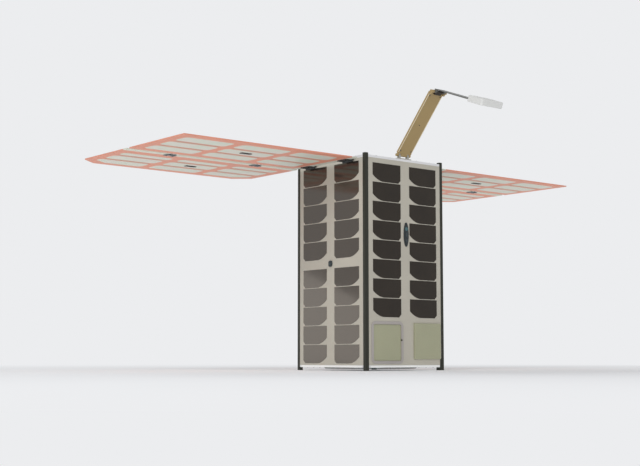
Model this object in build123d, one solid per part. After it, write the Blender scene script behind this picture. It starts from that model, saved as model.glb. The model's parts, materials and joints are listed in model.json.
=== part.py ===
from build123d import *
import math
import os

os.makedirs("parts", exist_ok=True)

# Small satellite of 16 units, standing on the feet of its four corner rails, telescope down.
# Millimetres, +Z up. The origin is on the ground, under the middle of the body.
# The front face is -Y, the left face is -X, and the two wings reach out along X.

# Body
body_width = 226.3
body_height = 454.0
rail_width = 8.5
rail_edge_radius = 1.0
foot_block_width = 12.0
foot_block_top = 26.0
foot_bore_radius = 1.65
foot_bore_depth = 10.0
bottom_stand_off = 6.5
top_stand_off = 4.0
plate_thickness = 5.0
face_setback = 0.4
face_thickness = 2.0
seat_gap = 0.3
cut_through = 4.0
handling_inset = 38.15
handling_hole_radius = 2.1

# Telescope: a bevelled ring in the bottom plate, its tube, the mirrors and the spider
aperture_rim = 11.15
ring_width = 4.0
ring_lip = 0.6
ring_drop = 2.5
tube_wall = 2.0
telescope_length = 251.5
mirror_gap = 2.0
mirror_hole_radius = 18.0
mirror_edge_thickness = 22.0
mirror_hollow = 3.7
spider_depth = 4.5
hub_radius = 26.5
hub_thickness = 3.0
secondary_radius = 21.0
secondary_height = 12.0
secondary_bevel = 3.0
vane_thickness = 3.0
vane_height = 3.0
vane_end_gap = 0.2
vane_count = 3
first_vane_angle = 180.0

# Electronics behind the telescope, one closed block
block_side_gap = 14.65
block_top_gap = 12.0

# Body cells, one outline with a long arc at one corner and a small chamfer at the other
cell_width = 80.0
cell_height = 39.6
cell_thickness = 0.3
cell_row_gap = 1.0
cell_arc_run = 30.0
cell_arc_rise = 14.0
cell_arc_radius = 50.0
cell_chamfer = 6.5
cell_column_gap = 25.0
cell_middle_gap = 20.0
cell_end_gap = 5.0
front_cells_top_gap = 15.0

# Patch antennas low on the front face, the left one sunk in a rounded frame
patch_width = 78.0
patch_height = 76.0
patch_thickness = 3.0
patch_corner_radius = 4.0
patch_frame_border = 6.0
patch_frame_thickness = 1.0
left_patch_recess = 1.2
left_patch_side_gap = 13.15
left_patch_rise = 9.0
right_patch_side_gap = 0.15
right_patch_rise = 12.5
patch_cell_gap = 4.0

# Sensors
side_sensor_width = 12.0
side_sensor_height = 13.0
side_sensor_radius = 4.0
side_sensor_thickness = 2.0
front_sensor_width = 14.0
front_sensor_height = 52.0
front_sensor_thickness = 2.4
front_sensor_x = 2.5
front_sensor_drop = 162.0
nadir_sensor_length = 52.0
nadir_sensor_width = 20.0
nadir_sensor_thickness = 2.0
nadir_corner_gap = 39.0
nadir_turn = -45.0

# Wings: an inner panel hinged to the body and an outer panel hinged beside it
wing_drop = 12.5
wing_reach = 439.85
panel_thickness = 2.5
inner_root_gap = 10.85
outer_root_gap = 5.85
inner_front_inset = 12.15
inner_rear_inset = 15.85
panel_gap = 10.7
outer_width = 201.3
strip_width = 14.0
tip_chamfer_x = 36.0
tip_chamfer_y = 30.0

# Wing hinges: interleaved fingers on a pin
hinge_pin_radius = 1.0
hinge_pin_gap = 0.1
knuckle_radius = 2.5
finger_gap = 0.4
leaf_edge_gap = 1.0
root_axis_gap = 6.35
root_axis_drop = 2.0
root_hinge_length = 30.0
root_hinge_spacing = 124.0
root_finger_count = 3
root_leaf_corner = 3.0
root_bracket_inset = 1.5
root_bracket_thickness = 1.5
root_gusset = 3.0
fold_gap = 5.6
fold_hinge_length = 24.0
fold_hinge_spacing = 217.0
fold_finger_count = 5
fold_finger_reach = 5.2
fold_finger_far_reach = 9.0
fold_leaf_thickness = 1.5
fold_edge_plate = 1.0
fold_notch_width = 6.0
fold_notch_depth = 5.0

# Pads on the underside of the panels, in columns counted from the root
pad_thickness = 0.3
pad_corner = 5.0
pad_height = 40.0
pad_short_height = 24.0
pad_row_gap = 16.5
pad_column_gap = 21.5
inner_pad_lengths = (101.0, 118.0, 113.0)
outer_pad_lengths = (113.0, 120.0, 117.0)
pad_tip_margin = 20.0
pad_rear_margin = 23.0
pad_clip_x = 31.0
pad_clip_y = 22.0
chip_length = 26.0
chip_width = 9.5
chip_thickness = 1.2

# Cells on the upper side of the panels
wing_cell_crop = 8.0
wing_cell_column_gap = 3.0
wing_cell_row_gap = 4.0
wing_cell_margin = 1.0

# Boom on the top edge of the front face
boom_axis_inset = 5.15
boom_axis_rise = 9.0
boom_angle = 130.7
boom_length = 163.0
boom_width = 40.0
boom_thickness = 2.0
boom_flange_height = 2.0
boom_flange_width = 2.0
boom_flange_start = 5.0
boom_hole_radius = 1.6
boom_hole_place = 77.5
boom_knuckle_radius = 3.0
boom_root_notch = 4.0
boom_lug_width = 5.0
boom_lug_spacing = 24.0
boom_base_depth = 9.0
boom_base_thickness = 2.0

# Elbow and upper arm
elbow_offset = 6.2
elbow_lug_length = 8.0
elbow_plate_gap = 5.0
elbow_sleeve_length = 18.0
arm_angle = 201.0
arm_length = 157.0
arm_offset = 5.0
arm_thickness = 2.0
arm_start = 4.5
arm_strap_length = 6.0
arm_neck_width = 32.0
arm_neck_length = 28.0
arm_taper_length = 10.0
arm_width = 43.0

# Camera head: a tray round the arm's end, the camera block and its lens
tray_length = 42.5
tray_depth = 13.5
tray_rim_width = 9.8
tray_rim_height = 3.6
tray_chamfer = 3.0
camera_set_back = 30.7
camera_width = 31.0
camera_length = 22.5
camera_thickness = 3.2
lens_radius = 5.0
lens_height = 3.4

# Blade antenna low on the rear face
antenna_side_inset = 39.15
antenna_axis_gap = 9.35
antenna_z = 10.0
antenna_angle = 61.3
antenna_pin_radius = 1.5
antenna_bracket_width = 12.0
antenna_bracket_wall = 2.0
antenna_bracket_end = 3.0
blade_length = 62.0
blade_width = 7.4
blade_end_width = 5.6
blade_thickness = 2.0
tip_rod_length = 56.0
tip_rod_radius = 1.6

# Places on the body, worked out from the sizes above
half = body_width / 2
face_plane = half - face_setback
rail_inner = half - rail_width
bottom_top_z = bottom_stand_off + plate_thickness
top_z = body_height - top_stand_off
top_under_z = top_z - plate_thickness
middle_z = body_height / 2
cell_pitch = cell_height + cell_row_gap
mid_plate_z = bottom_stand_off + telescope_length

# The four corner rails: the side along X, the side along Y, and whether a block thickens the foot
rails = {
    "front_left": (-1, -1, False),
    "front_right": (1, -1, True),
    "rear_left": (-1, 1, False),
    "rear_right": (1, 1, False),
}

# The four upright faces as planes seen from outside, and the side of each that meets the foot block
faces = {
    "front": (Plane(origin=(0, -face_plane, 0), x_dir=(1, 0, 0), z_dir=(0, -1, 0)), 1),
    "left": (Plane(origin=(-face_plane, 0, 0), x_dir=(0, -1, 0), z_dir=(-1, 0, 0)), 0),
    "right": (Plane(origin=(face_plane, 0, 0), x_dir=(0, 1, 0), z_dir=(1, 0, 0)), -1),
    "rear": (Plane(origin=(0, face_plane, 0), x_dir=(-1, 0, 0), z_dir=(0, 1, 0)), 0),
}
front = faces["front"][0]


def save(name, solids):
    """Writes one node, a single solid or several that don't touch."""
    solids = list(solids)
    shape = solids[0] if len(solids) == 1 else Compound(children=solids)
    export_step(shape, f"parts/{name}.step")


def bar(axis, x, y, z, radius, length):
    """A round bar centred on a point, lying along X, Y or Z."""
    turn = {"X": (0, 90, 0), "Y": (90, 0, 0), "Z": (0, 0, 0)}[axis]
    return Pos(x, y, z) * Rot(*turn) * Cylinder(radius, length)


def block(x, y, z):
    """A box that spans three ranges, each given as a low and a high value."""
    return Pos(sum(x) / 2, sum(y) / 2, sum(z) / 2) * Box(x[1] - x[0], y[1] - y[0], z[1] - z[0])


def finger_places(length, count, first):
    """The middles and the length of every other finger of a hinge, from the given one on."""
    pitch = length / count
    middles = [pitch * (i + 0.5) - length / 2 for i in range(first, count, 2)]
    return middles, pitch - finger_gap


# Rails and plates
def corner_column(width, height):
    """A square column whose outer upright edge is rounded and stands at the origin."""
    square = Rectangle(width, width, align=(Align.MAX, Align.MAX))
    outer = square.vertices().sort_by_distance((0, 0, 0))[0]
    return extrude(fillet(outer, rail_edge_radius), height)


def corner_rail(side_x, side_y, has_block):
    """A rail with the bore in its foot's end and, on one corner, a thicker foot block."""
    rail = corner_column(rail_width, body_height)
    if has_block:
        rail += corner_column(foot_block_width, foot_block_top)
    bore_place = -rail_width / 2
    rail -= bar("Z", bore_place, bore_place, foot_bore_depth / 2, foot_bore_radius, foot_bore_depth)
    rail = Pos(half, half, 0) * rail
    if side_x < 0:
        rail = mirror(rail, about=Plane.YZ)
    if side_y < 0:
        rail = mirror(rail, about=Plane.XZ)
    return rail


def notched_plate(width, low_z, meets_block):
    """A square plate whose corners leave room for the rails, and for the foot block where it meets it."""
    sketch = Rectangle(width, width)
    for side_x, side_y, has_block in rails.values():
        notch = foot_block_width if has_block and meets_block else rail_width
        middle = half - notch / 2
        sketch -= Pos(side_x * middle, side_y * middle) * Rectangle(notch, notch)
    return Pos(0, 0, low_z) * extrude(sketch, plate_thickness)


for name, corner in rails.items():
    save(f"rail_{name}", [corner_rail(*corner)])

tube_ring_radius = half - aperture_rim
tube_bore_radius = tube_ring_radius - ring_width
bottom_plate = notched_plate(2 * face_plane, bottom_stand_off, True)
bottom_plate -= bar("Z", 0, 0, bottom_stand_off, tube_ring_radius + seat_gap, cut_through * plate_thickness)
save("bottom_plate", [bottom_plate])

handling_place = half - handling_inset
top_plate = notched_plate(2 * face_plane, top_under_z, False)
for x in (-handling_place, handling_place):
    for y in (-handling_place, handling_place):
        top_plate -= bar("Z", x, y, top_z, handling_hole_radius, cut_through * plate_thickness)
save("top_plate", [top_plate])
save("mid_plate", [notched_plate(2 * (face_plane - face_thickness), mid_plate_z, False)])

block_half = rail_inner - block_side_gap
block_reach = (-block_half, block_half)
electronics = block(block_reach, block_reach, (mid_plate_z + plate_thickness, top_under_z - block_top_gap))
save("electronics_block", [electronics])

# Telescope tube with its ring, bevelled from the plate's underside down to the bore
ring_z = bottom_stand_off - ring_drop
tube_outer_radius = tube_bore_radius + tube_wall
tube_profile = make_face(Polyline(
    (tube_bore_radius, ring_z),
    (tube_bore_radius + ring_lip, ring_z),
    (tube_ring_radius, bottom_stand_off),
    (tube_ring_radius, bottom_top_z),
    (tube_outer_radius, bottom_top_z),
    (tube_outer_radius, mid_plate_z),
    (tube_bore_radius, mid_plate_z),
    close=True,
))
save("telescope_tube", [revolve(Plane.XZ * tube_profile, axis=Axis.Z)])

# Primary mirror, hollowed towards its central hole
mirror_radius = tube_bore_radius - mirror_gap
mirror_rim_z = mid_plate_z - mirror_edge_thickness
mirror_profile = make_face(Polyline(
    (mirror_radius, mirror_rim_z),
    (mirror_radius, mid_plate_z),
    (mirror_hole_radius, mid_plate_z),
    (mirror_hole_radius, mirror_rim_z + mirror_hollow),
    close=True,
))
save("primary_mirror", [revolve(Plane.XZ * mirror_profile, axis=Axis.Z)])

# Spider: three vanes and a round hub, with the secondary mirror's cell behind the hub
hub_z = bottom_stand_off + spider_depth
hub_back_z = hub_z + hub_thickness
spider = bar("Z", 0, 0, hub_z + hub_thickness / 2, hub_radius, hub_thickness)
vane = block((0, tube_bore_radius - vane_end_gap), (-vane_thickness / 2, vane_thickness / 2),
             (hub_z, hub_z + vane_height))
for i in range(vane_count):
    spider += Rot(0, 0, first_vane_angle + i * 360 / vane_count) * vane
save("mirror_spider", [spider])
cell_profile = make_face(Polyline(
    (0, hub_back_z),
    (secondary_radius, hub_back_z),
    (secondary_radius, hub_back_z + secondary_height - secondary_bevel),
    (secondary_radius - secondary_bevel, hub_back_z + secondary_height),
    (0, hub_back_z + secondary_height),
    close=True,
))
save("secondary_cell", [revolve(Plane.XZ * cell_profile, axis=Axis.Z)])


# Faces with their cells
def face_panel(plane, block_side):
    """A circuit board between two rails, notched where it meets the foot block."""
    height = top_under_z - bottom_top_z
    sketch = Pos(0, bottom_top_z + height / 2) * Rectangle(2 * rail_inner, height)
    if block_side:
        notch = foot_block_width - rail_width
        notch_height = foot_block_top - bottom_top_z
        place = Pos(block_side * (rail_inner - notch / 2), bottom_top_z + notch_height / 2)
        sketch -= place * Rectangle(notch, notch_height)
    return extrude(plane * sketch, -face_thickness)


def cell_outline(arc_side):
    """One body cell, with its long arc at the lower left for -1 or at the lower right for +1."""
    left = -cell_width / 2
    right = cell_width / 2
    top = cell_height / 2
    low = -cell_height / 2
    start = (left + cell_arc_run, low)
    end = (left, low + cell_arc_rise)
    chord = math.hypot(cell_arc_run, cell_arc_rise)
    bulge = cell_arc_radius - math.sqrt(cell_arc_radius ** 2 - (chord / 2) ** 2)
    middle = (
        (start[0] + end[0]) / 2 - bulge * cell_arc_rise / chord,
        (start[1] + end[1]) / 2 - bulge * cell_arc_run / chord,
    )
    edge = Polyline(end, (left, top), (right, top), (right, low + cell_chamfer),
                    (right - cell_chamfer, low), start)
    sketch = make_face(edge + ThreePointArc(start, middle, end))
    return mirror(sketch, about=Plane.YZ) if arc_side > 0 else sketch


def side_rows():
    """Row middles of the cells above and below the middle gap of a side face."""
    first = cell_middle_gap / 2
    room = top_under_z - cell_end_gap - middle_z - first + cell_row_gap
    steps = [first + cell_height / 2 + i * cell_pitch for i in range(int(room // cell_pitch))]
    return [middle_z - s for s in steps] + [middle_z + s for s in steps]


def front_rows():
    """Row middles of the cells above the patch antennas of the front face."""
    top = top_z - front_cells_top_gap
    low = bottom_top_z + left_patch_rise + patch_height + patch_frame_border + patch_cell_gap
    count = int((top - low + cell_row_gap) // cell_pitch)
    return [top - cell_height / 2 - i * cell_pitch for i in range(count)]


left_patch_x = -(rail_inner - left_patch_side_gap - patch_width / 2)
left_patch_z = bottom_top_z + left_patch_rise + patch_height / 2
right_patch_x = half - foot_block_width - right_patch_side_gap - patch_width / 2
right_patch_z = bottom_top_z + right_patch_rise + patch_height / 2
left_patch_place = Pos(left_patch_x, left_patch_z)

body_cells = []
cell_column_x = (cell_column_gap + cell_width) / 2
for name, (plane, block_side) in faces.items():
    panel = face_panel(plane, block_side)
    if name == "front":
        pocket = left_patch_place * RectangleRounded(patch_width, patch_height, patch_corner_radius)
        panel -= extrude(plane * pocket, -left_patch_recess)
    save(f"{name}_face", [panel])
    outline = cell_outline(-1 if name in ("front", "rear") else 1)
    for x in (-cell_column_x, cell_column_x):
        for z in front_rows() if name == "front" else side_rows():
            body_cells.append(extrude(plane * Pos(x, z) * outline, cell_thickness))
save("body_cells", body_cells)

# Patch antennas: the left one on the floor of its pocket, the right one standing proud
left_outline = RectangleRounded(patch_width - 2 * seat_gap, patch_height - 2 * seat_gap, patch_corner_radius)
pocket_floor = front.offset(-left_patch_recess)
left_patch = extrude(pocket_floor * left_patch_place * left_outline, left_patch_recess / 2)
right_outline = Rectangle(patch_width, patch_height)
right_patch = extrude(front * Pos(right_patch_x, right_patch_z) * right_outline, patch_thickness)
save("patch_antennas", [left_patch, right_patch])

frame_outline = RectangleRounded(patch_width + 2 * patch_frame_border, patch_height + 2 * patch_frame_border,
                                 patch_corner_radius + patch_frame_border)
frame_outline -= RectangleRounded(patch_width, patch_height, patch_corner_radius)
save("patch_frame", [extrude(front * left_patch_place * frame_outline, patch_frame_thickness)])

# Sensors on the faces and under the bottom plate
side_outline = RectangleRounded(side_sensor_width, side_sensor_height, side_sensor_radius)
side_sensors = []
for name in ("left", "right", "rear"):
    side_sensors.append(extrude(faces[name][0] * Pos(0, middle_z) * side_outline, side_sensor_thickness))
save("side_sensors", side_sensors)

front_outline = Ellipse(front_sensor_width / 2, front_sensor_height / 2)
front_place = front * Pos(front_sensor_x, top_z - front_sensor_drop)
save("front_sensor", [extrude(front_place * front_outline, front_sensor_thickness)])

nadir_radius = half * math.sqrt(2) - nadir_corner_gap
nadir_place = Rot(0, 0, nadir_turn) * Pos(0, -nadir_radius, bottom_stand_off)
nadir_outline = SlotOverall(nadir_sensor_length, nadir_sensor_width)
save("nadir_sensor", [nadir_place * extrude(nadir_outline, -nadir_sensor_thickness)])

# Places on the right wing; the left wing is its mirror image
under = body_height - wing_drop
over = under + panel_thickness
wing_tip_x = half + wing_reach
inner_root_x = half + inner_root_gap
inner_start_x = inner_root_x + strip_width
outer_root_x = half + outer_root_gap
inner_front_y = -(half - inner_front_inset)
inner_rear_y = half - inner_rear_inset
outer_front_y = inner_rear_y + panel_gap
outer_start_y = outer_front_y + strip_width
outer_rear_y = outer_front_y + outer_width
root_axis_x = half + root_axis_gap
root_axis_z = under - root_axis_drop
fold_axis_y = inner_rear_y + panel_gap / 2
fold_axis_z = over + cell_thickness + fold_gap / 2


def outer_outline():
    """The outer panel beside its strip, with both far corners clipped."""
    return make_face(Polyline(
        (outer_root_x, outer_start_y),
        (wing_tip_x, outer_start_y),
        (wing_tip_x, outer_rear_y - tip_chamfer_y),
        (wing_tip_x - tip_chamfer_x, outer_rear_y),
        (outer_root_x + tip_chamfer_x, outer_rear_y),
        (outer_root_x, outer_rear_y - tip_chamfer_y),
        close=True,
    ))


def pad_outline(length, height, clip_side):
    """A pad with cut corners; one rear corner is cut further on the pads at a clipped panel corner."""
    points = []
    for side_x, side_y in ((-1, -1), (1, -1), (1, 1), (-1, 1)):
        clipped = side_y > 0 and side_x == clip_side
        cut_x = pad_clip_x if clipped else pad_corner
        cut_y = pad_clip_y if clipped else pad_corner
        along = (side_x * (length / 2 - cut_x), side_y * height / 2)
        across = (side_x * length / 2, side_y * (height / 2 - cut_y))
        points += [across, along] if side_x * side_y > 0 else [along, across]
    return make_face(Polyline(*points, close=True))


def panel_pads(lengths, rear_y, row_heights, clipped):
    """Rows of pads under a panel, laid out from its tip and its rear edge, with a chip on the middle one."""
    solids = []
    high_y = rear_y - pad_rear_margin
    for row, height in enumerate(row_heights):
        high_x = wing_tip_x - pad_tip_margin
        for column in (2, 1, 0):
            clip_side = column - 1 if clipped and row == 0 else 0
            x = high_x - lengths[column] / 2
            y = high_y - height / 2
            pad = pad_outline(lengths[column], height, clip_side)
            solids.append(Pos(x, y, under) * extrude(pad, -pad_thickness))
            if row == 1 and column == 1:
                chip_z = under - pad_thickness - chip_thickness / 2
                solids.append(Pos(x, y, chip_z) * Box(chip_length, chip_width, chip_thickness))
            high_x -= lengths[column] + pad_column_gap
        high_y -= height + pad_row_gap
    return solids


def wing_cells(panel):
    """Cropped cells on a panel's upper side, spread from end to end and trimmed at its clipped corners."""
    outline = Rectangle(cell_width, cell_height)
    outline = chamfer(outline.vertices().group_by(Axis.Y)[-1], wing_cell_crop)
    room = offset(panel, -wing_cell_margin)
    box = room.bounding_box()
    columns = int((box.size.X + wing_cell_column_gap) // (cell_width + wing_cell_column_gap))
    step_x = (box.size.X - cell_width) / (columns - 1)
    step_y = cell_height + wing_cell_row_gap
    rows = int((box.size.Y + wing_cell_row_gap) // step_y)
    middle = Pos((box.min.X + box.max.X) / 2, (box.min.Y + box.max.Y) / 2)
    grid = GridLocations(step_x, step_y, columns, rows)
    return [Pos(0, 0, over) * extrude(room & (middle * place * outline), cell_thickness) for place in grid]


def root_hinge(y):
    """A dark root hinge: the leaf under the strip, and the bracket on the top plate's edge with the pin."""
    bore_radius = hinge_pin_radius + hinge_pin_gap
    leaf_end_x = inner_start_x - leaf_edge_gap
    leaf_plate = Rectangle(leaf_end_x - inner_root_x, root_hinge_length)
    leaf_plate = fillet(leaf_plate.vertices().group_by(Axis.X)[-1], root_leaf_corner)
    leaf = Pos((inner_root_x + leaf_end_x) / 2, y, root_axis_z) * extrude(leaf_plate, root_axis_drop)
    middles, length = finger_places(root_hinge_length, root_finger_count, 1)
    for middle in middles:
        reach = (y + middle - length / 2, y + middle + length / 2)
        leaf += block((root_axis_x, inner_root_x), reach, (root_axis_z, under))
        leaf += bar("Y", root_axis_x, y + middle, root_axis_z, knuckle_radius, length)
    leaf -= bar("Y", root_axis_x, y, root_axis_z, bore_radius, 2 * root_hinge_length)

    low_z = top_under_z
    high_z = top_z - root_bracket_inset
    reach = (y - root_hinge_length / 2, y + root_hinge_length / 2)
    bracket = block((face_plane, face_plane + root_bracket_thickness), reach, (low_z, high_z))
    bracket += bar("Y", root_axis_x, y, root_axis_z, hinge_pin_radius, root_hinge_length - finger_gap)
    lug = make_face(Polyline(
        (face_plane, low_z),
        (root_axis_x, root_axis_z - knuckle_radius),
        (root_axis_x, root_axis_z + knuckle_radius),
        (face_plane + root_gusset, high_z),
        (face_plane, high_z),
        close=True,
    ))
    middles, length = finger_places(root_hinge_length, root_finger_count, 0)
    for middle in middles:
        bracket += Pos(0, y + middle + length / 2, 0) * extrude(Plane.XZ * lug, length)
        bracket += bar("Y", root_axis_x, y + middle, root_axis_z, knuckle_radius, length)
    return leaf, bracket


def fold_finger(x, edge_y, side, reach, length):
    """A finger from a panel's edge up to the fold axis; side is +1 for +Y and -1 for -Y."""
    profile = make_face(Polyline(
        (edge_y, under),
        (edge_y, over),
        (fold_axis_y - side * knuckle_radius, fold_axis_z),
        (fold_axis_y + side * knuckle_radius, fold_axis_z),
        (edge_y + side * reach, under),
        close=True,
    ))
    finger = Pos(x - length / 2, 0, 0) * extrude(Plane.YZ * profile, length)
    return finger + bar("X", x, fold_axis_y, fold_axis_z, knuckle_radius, length)


def fold_hinge(x):
    """The hinge between the panels: inner fingers with the pin, outer fingers on a notched leaf."""
    reach = (x - fold_hinge_length / 2, x + fold_hinge_length / 2)
    inner = block(reach, (inner_rear_y, inner_rear_y + fold_edge_plate), (under, over))
    inner += bar("X", x, fold_axis_y, fold_axis_z, hinge_pin_radius, fold_hinge_length - finger_gap)
    middles, length = finger_places(fold_hinge_length, fold_finger_count, 0)
    for middle in middles:
        inner += fold_finger(x + middle, inner_rear_y, 1, fold_finger_reach, length)

    leaf_end_y = outer_start_y - leaf_edge_gap
    outer = block(reach, (outer_front_y, leaf_end_y), (under - fold_leaf_thickness, under))
    notch_x = (x - fold_notch_width / 2, x + fold_notch_width / 2)
    notch_y = (leaf_end_y - fold_notch_depth, leaf_end_y + leaf_edge_gap)
    outer -= block(notch_x, notch_y, (under - 2 * fold_leaf_thickness, under))
    middles, length = finger_places(fold_hinge_length, fold_finger_count, 1)
    for middle in middles:
        outer += fold_finger(x + middle, outer_front_y, -1, fold_finger_far_reach, length)
        width = (x + middle - length / 2, x + middle + length / 2)
        edge = (outer_front_y - fold_edge_plate, outer_front_y)
        outer += block(width, edge, (under - fold_leaf_thickness, over))
    outer -= bar("X", x, fold_axis_y, fold_axis_z, hinge_pin_radius + hinge_pin_gap, 2 * fold_hinge_length)
    return inner, outer


inner_middle_y = (inner_front_y + inner_rear_y) / 2
root_hinges = [root_hinge(inner_middle_y + side * root_hinge_spacing / 2) for side in (-1, 1)]
fold_middle_x = (inner_root_x + wing_tip_x) / 2
fold_hinges = [fold_hinge(fold_middle_x + side * fold_hinge_spacing / 2) for side in (-1, 1)]
inner_x = (inner_start_x, wing_tip_x)
inner_y = (inner_front_y, inner_rear_y)
inner_outline = Rectangle(wing_tip_x - inner_start_x, inner_rear_y - inner_front_y)
inner_outline = Pos(sum(inner_x) / 2, inner_middle_y) * inner_outline
strip_y = (outer_front_y, outer_start_y)
full_rows = (pad_height, pad_height, pad_height)
short_rows = (pad_height, pad_height, pad_short_height)
wing_nodes = {
    "inner_panel": [block(inner_x, inner_y, (under, over))],
    "inner_root_strip": [block((inner_root_x, inner_start_x), inner_y, (under, over))],
    "inner_cells": wing_cells(inner_outline),
    "inner_pads": panel_pads(inner_pad_lengths, inner_rear_y, full_rows, False),
    "root_leaves": [leaf for leaf, bracket in root_hinges],
    "root_brackets": [bracket for leaf, bracket in root_hinges],
    "fold_leaves": [inner for inner, outer in fold_hinges],
    "outer_panel": [Pos(0, 0, under) * extrude(outer_outline(), panel_thickness)],
    "outer_strip": [block((outer_root_x, wing_tip_x), strip_y, (under, over))],
    "outer_cells": wing_cells(outer_outline()),
    "outer_pads": panel_pads(outer_pad_lengths, outer_rear_y, short_rows, True),
    "outer_leaves": [outer for inner, outer in fold_hinges],
}
for name, solids in wing_nodes.items():
    save(f"right_{name}", solids)
    save(f"left_{name}", [mirror(s, about=Plane.YZ) for s in solids])


# Boom, in planes whose local x runs along an arm and local z to the side that the lens faces
def arm_plane(y, z, angle):
    """A plane on a joint's axis, with local x along an arm at an angle above +Y."""
    c = math.cos(math.radians(angle))
    s = math.sin(math.radians(angle))
    return Plane(origin=(0, y, z), x_dir=(0, c, s), z_dir=(0, -s, c))


def both_sides(middle, width):
    """Two ranges across the boom, one each side of its middle."""
    return [(side * middle - width / 2, side * middle + width / 2) for side in (-1, 1)]


boom_axis_y = -(half - boom_axis_inset)
boom_axis_z = top_z + boom_axis_rise
boom_plane = arm_plane(boom_axis_y, boom_axis_z, boom_angle)
boom_bore_radius = hinge_pin_radius + hinge_pin_gap
boom_plate_end = boom_length - elbow_plate_gap
boom_faces = (-boom_thickness / 2, boom_thickness / 2)
boom_across = (-boom_width / 2, boom_width / 2)
pin_length = boom_lug_spacing + boom_lug_width

# Lower arm: plate with two flanges behind, a notched barrel at the root, and at the elbow two lugs
# with a sleeve on a web between them
lower = block((0, boom_plate_end), boom_across, boom_faces)
flange_reach = (boom_flange_start, boom_plate_end)
flange_back = -boom_thickness / 2 - boom_flange_height
for across in both_sides((boom_width - boom_flange_width) / 2, boom_flange_width):
    lower += block(flange_reach, across, (flange_back, 0))
lower -= bar("Z", boom_hole_place, 0, 0, boom_hole_radius, cut_through * boom_thickness)
lower += bar("Y", 0, 0, 0, boom_knuckle_radius, boom_width)
for across in both_sides(boom_lug_spacing / 2, boom_lug_width + 2 * finger_gap):
    lower -= block((-boom_root_notch, boom_root_notch), across, (-boom_root_notch, boom_root_notch))
lower -= bar("Y", 0, 0, 0, boom_bore_radius, pin_length + 2 * finger_gap)
lug_reach = (boom_length - elbow_lug_length, boom_length)
for across in both_sides((boom_width - boom_lug_width) / 2, boom_lug_width):
    lower += block(lug_reach, across, (-boom_thickness / 2, elbow_offset))
    lower += bar("Y", boom_length, sum(across) / 2, elbow_offset, boom_knuckle_radius, boom_lug_width)
lower += bar("Y", boom_length, 0, elbow_offset, hinge_pin_radius, boom_width - boom_lug_width)
lower += bar("Y", boom_length, 0, elbow_offset, boom_knuckle_radius, elbow_sleeve_length)
sleeve_across = (-elbow_sleeve_length / 2, elbow_sleeve_length / 2)
lower += block(lug_reach, sleeve_across, (-boom_thickness / 2, elbow_offset))
save("boom_lower_arm", [boom_plane * lower])

# Base on the top plate with two lugs and the root pin
base_y = (boom_axis_y - boom_base_depth / 2, boom_axis_y + boom_base_depth / 2)
base = block(boom_across, base_y, (top_z, top_z + boom_base_thickness))
for across in both_sides(boom_lug_spacing / 2, boom_lug_width):
    lug_y = (boom_axis_y - boom_knuckle_radius, boom_axis_y + boom_knuckle_radius)
    base += block(across, lug_y, (top_z, boom_axis_z))
    base += bar("X", sum(across) / 2, boom_axis_y, boom_axis_z, boom_knuckle_radius, boom_lug_width)
base += bar("X", 0, boom_axis_y, boom_axis_z, hinge_pin_radius, pin_length)
save("boom_base", [base])

# Upper arm: necked plate on two straps with bored barrels between the elbow's lugs and sleeve
elbow = boom_plane.from_local_coords((boom_length, 0, elbow_offset))
upper_plane = arm_plane(elbow.Y, elbow.Z, arm_angle)
arm_back = -arm_offset - arm_thickness / 2
arm_front = -arm_offset + arm_thickness / 2
arm_end = arm_length - tray_rim_width
arm_wide_start = arm_neck_length + arm_taper_length
neck = arm_neck_width / 2
wide = arm_width / 2
arm_outline = make_face(Polyline(
    (arm_start, -neck),
    (arm_neck_length, -neck),
    (arm_wide_start, -wide),
    (arm_end, -wide),
    (arm_end, wide),
    (arm_wide_start, wide),
    (arm_neck_length, neck),
    (arm_start, neck),
    close=True,
))
upper = Pos(0, 0, arm_back) * extrude(arm_outline, arm_thickness)
strap_room = (boom_width - elbow_sleeve_length) / 2 - boom_lug_width
strap_place = (elbow_sleeve_length + strap_room) / 2
for across in both_sides(strap_place, strap_room - 2 * finger_gap):
    upper += block((0, arm_strap_length), across, (arm_back, 0))
    upper += bar("Y", 0, sum(across) / 2, 0, boom_knuckle_radius, strap_room - 2 * finger_gap)
upper -= bar("Y", 0, 0, 0, boom_bore_radius, boom_width)
save("boom_upper_arm", [upper_plane * upper])

# Camera head
rim_face = arm_front + tray_rim_height
tray_half = wide + tray_rim_width
tray_start = arm_length - tray_length
tray = block((tray_start, arm_length), (-tray_half, tray_half), (rim_face - tray_depth, rim_face))
tray = chamfer(tray.edges().filter_by(Axis.Z), tray_chamfer)
recess_x = (tray_start - seat_gap, arm_end + seat_gap)
tray -= block(recess_x, (-wide - seat_gap, wide + seat_gap), (arm_back, rim_face))
save("camera_tray", [upper_plane * tray])

camera_s = arm_length - camera_set_back
camera_x = (camera_s - camera_length / 2, camera_s + camera_length / 2)
camera = block(camera_x, (-camera_width / 2, camera_width / 2), (arm_front, arm_front + camera_thickness))
camera -= bar("Z", camera_s, 0, arm_front, lens_radius + seat_gap, cut_through * camera_thickness)
save("camera_plate", [upper_plane * camera])
lens = bar("Z", camera_s, 0, arm_front + lens_height / 2, lens_radius, lens_height)
save("camera_lens", [upper_plane * lens])

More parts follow.
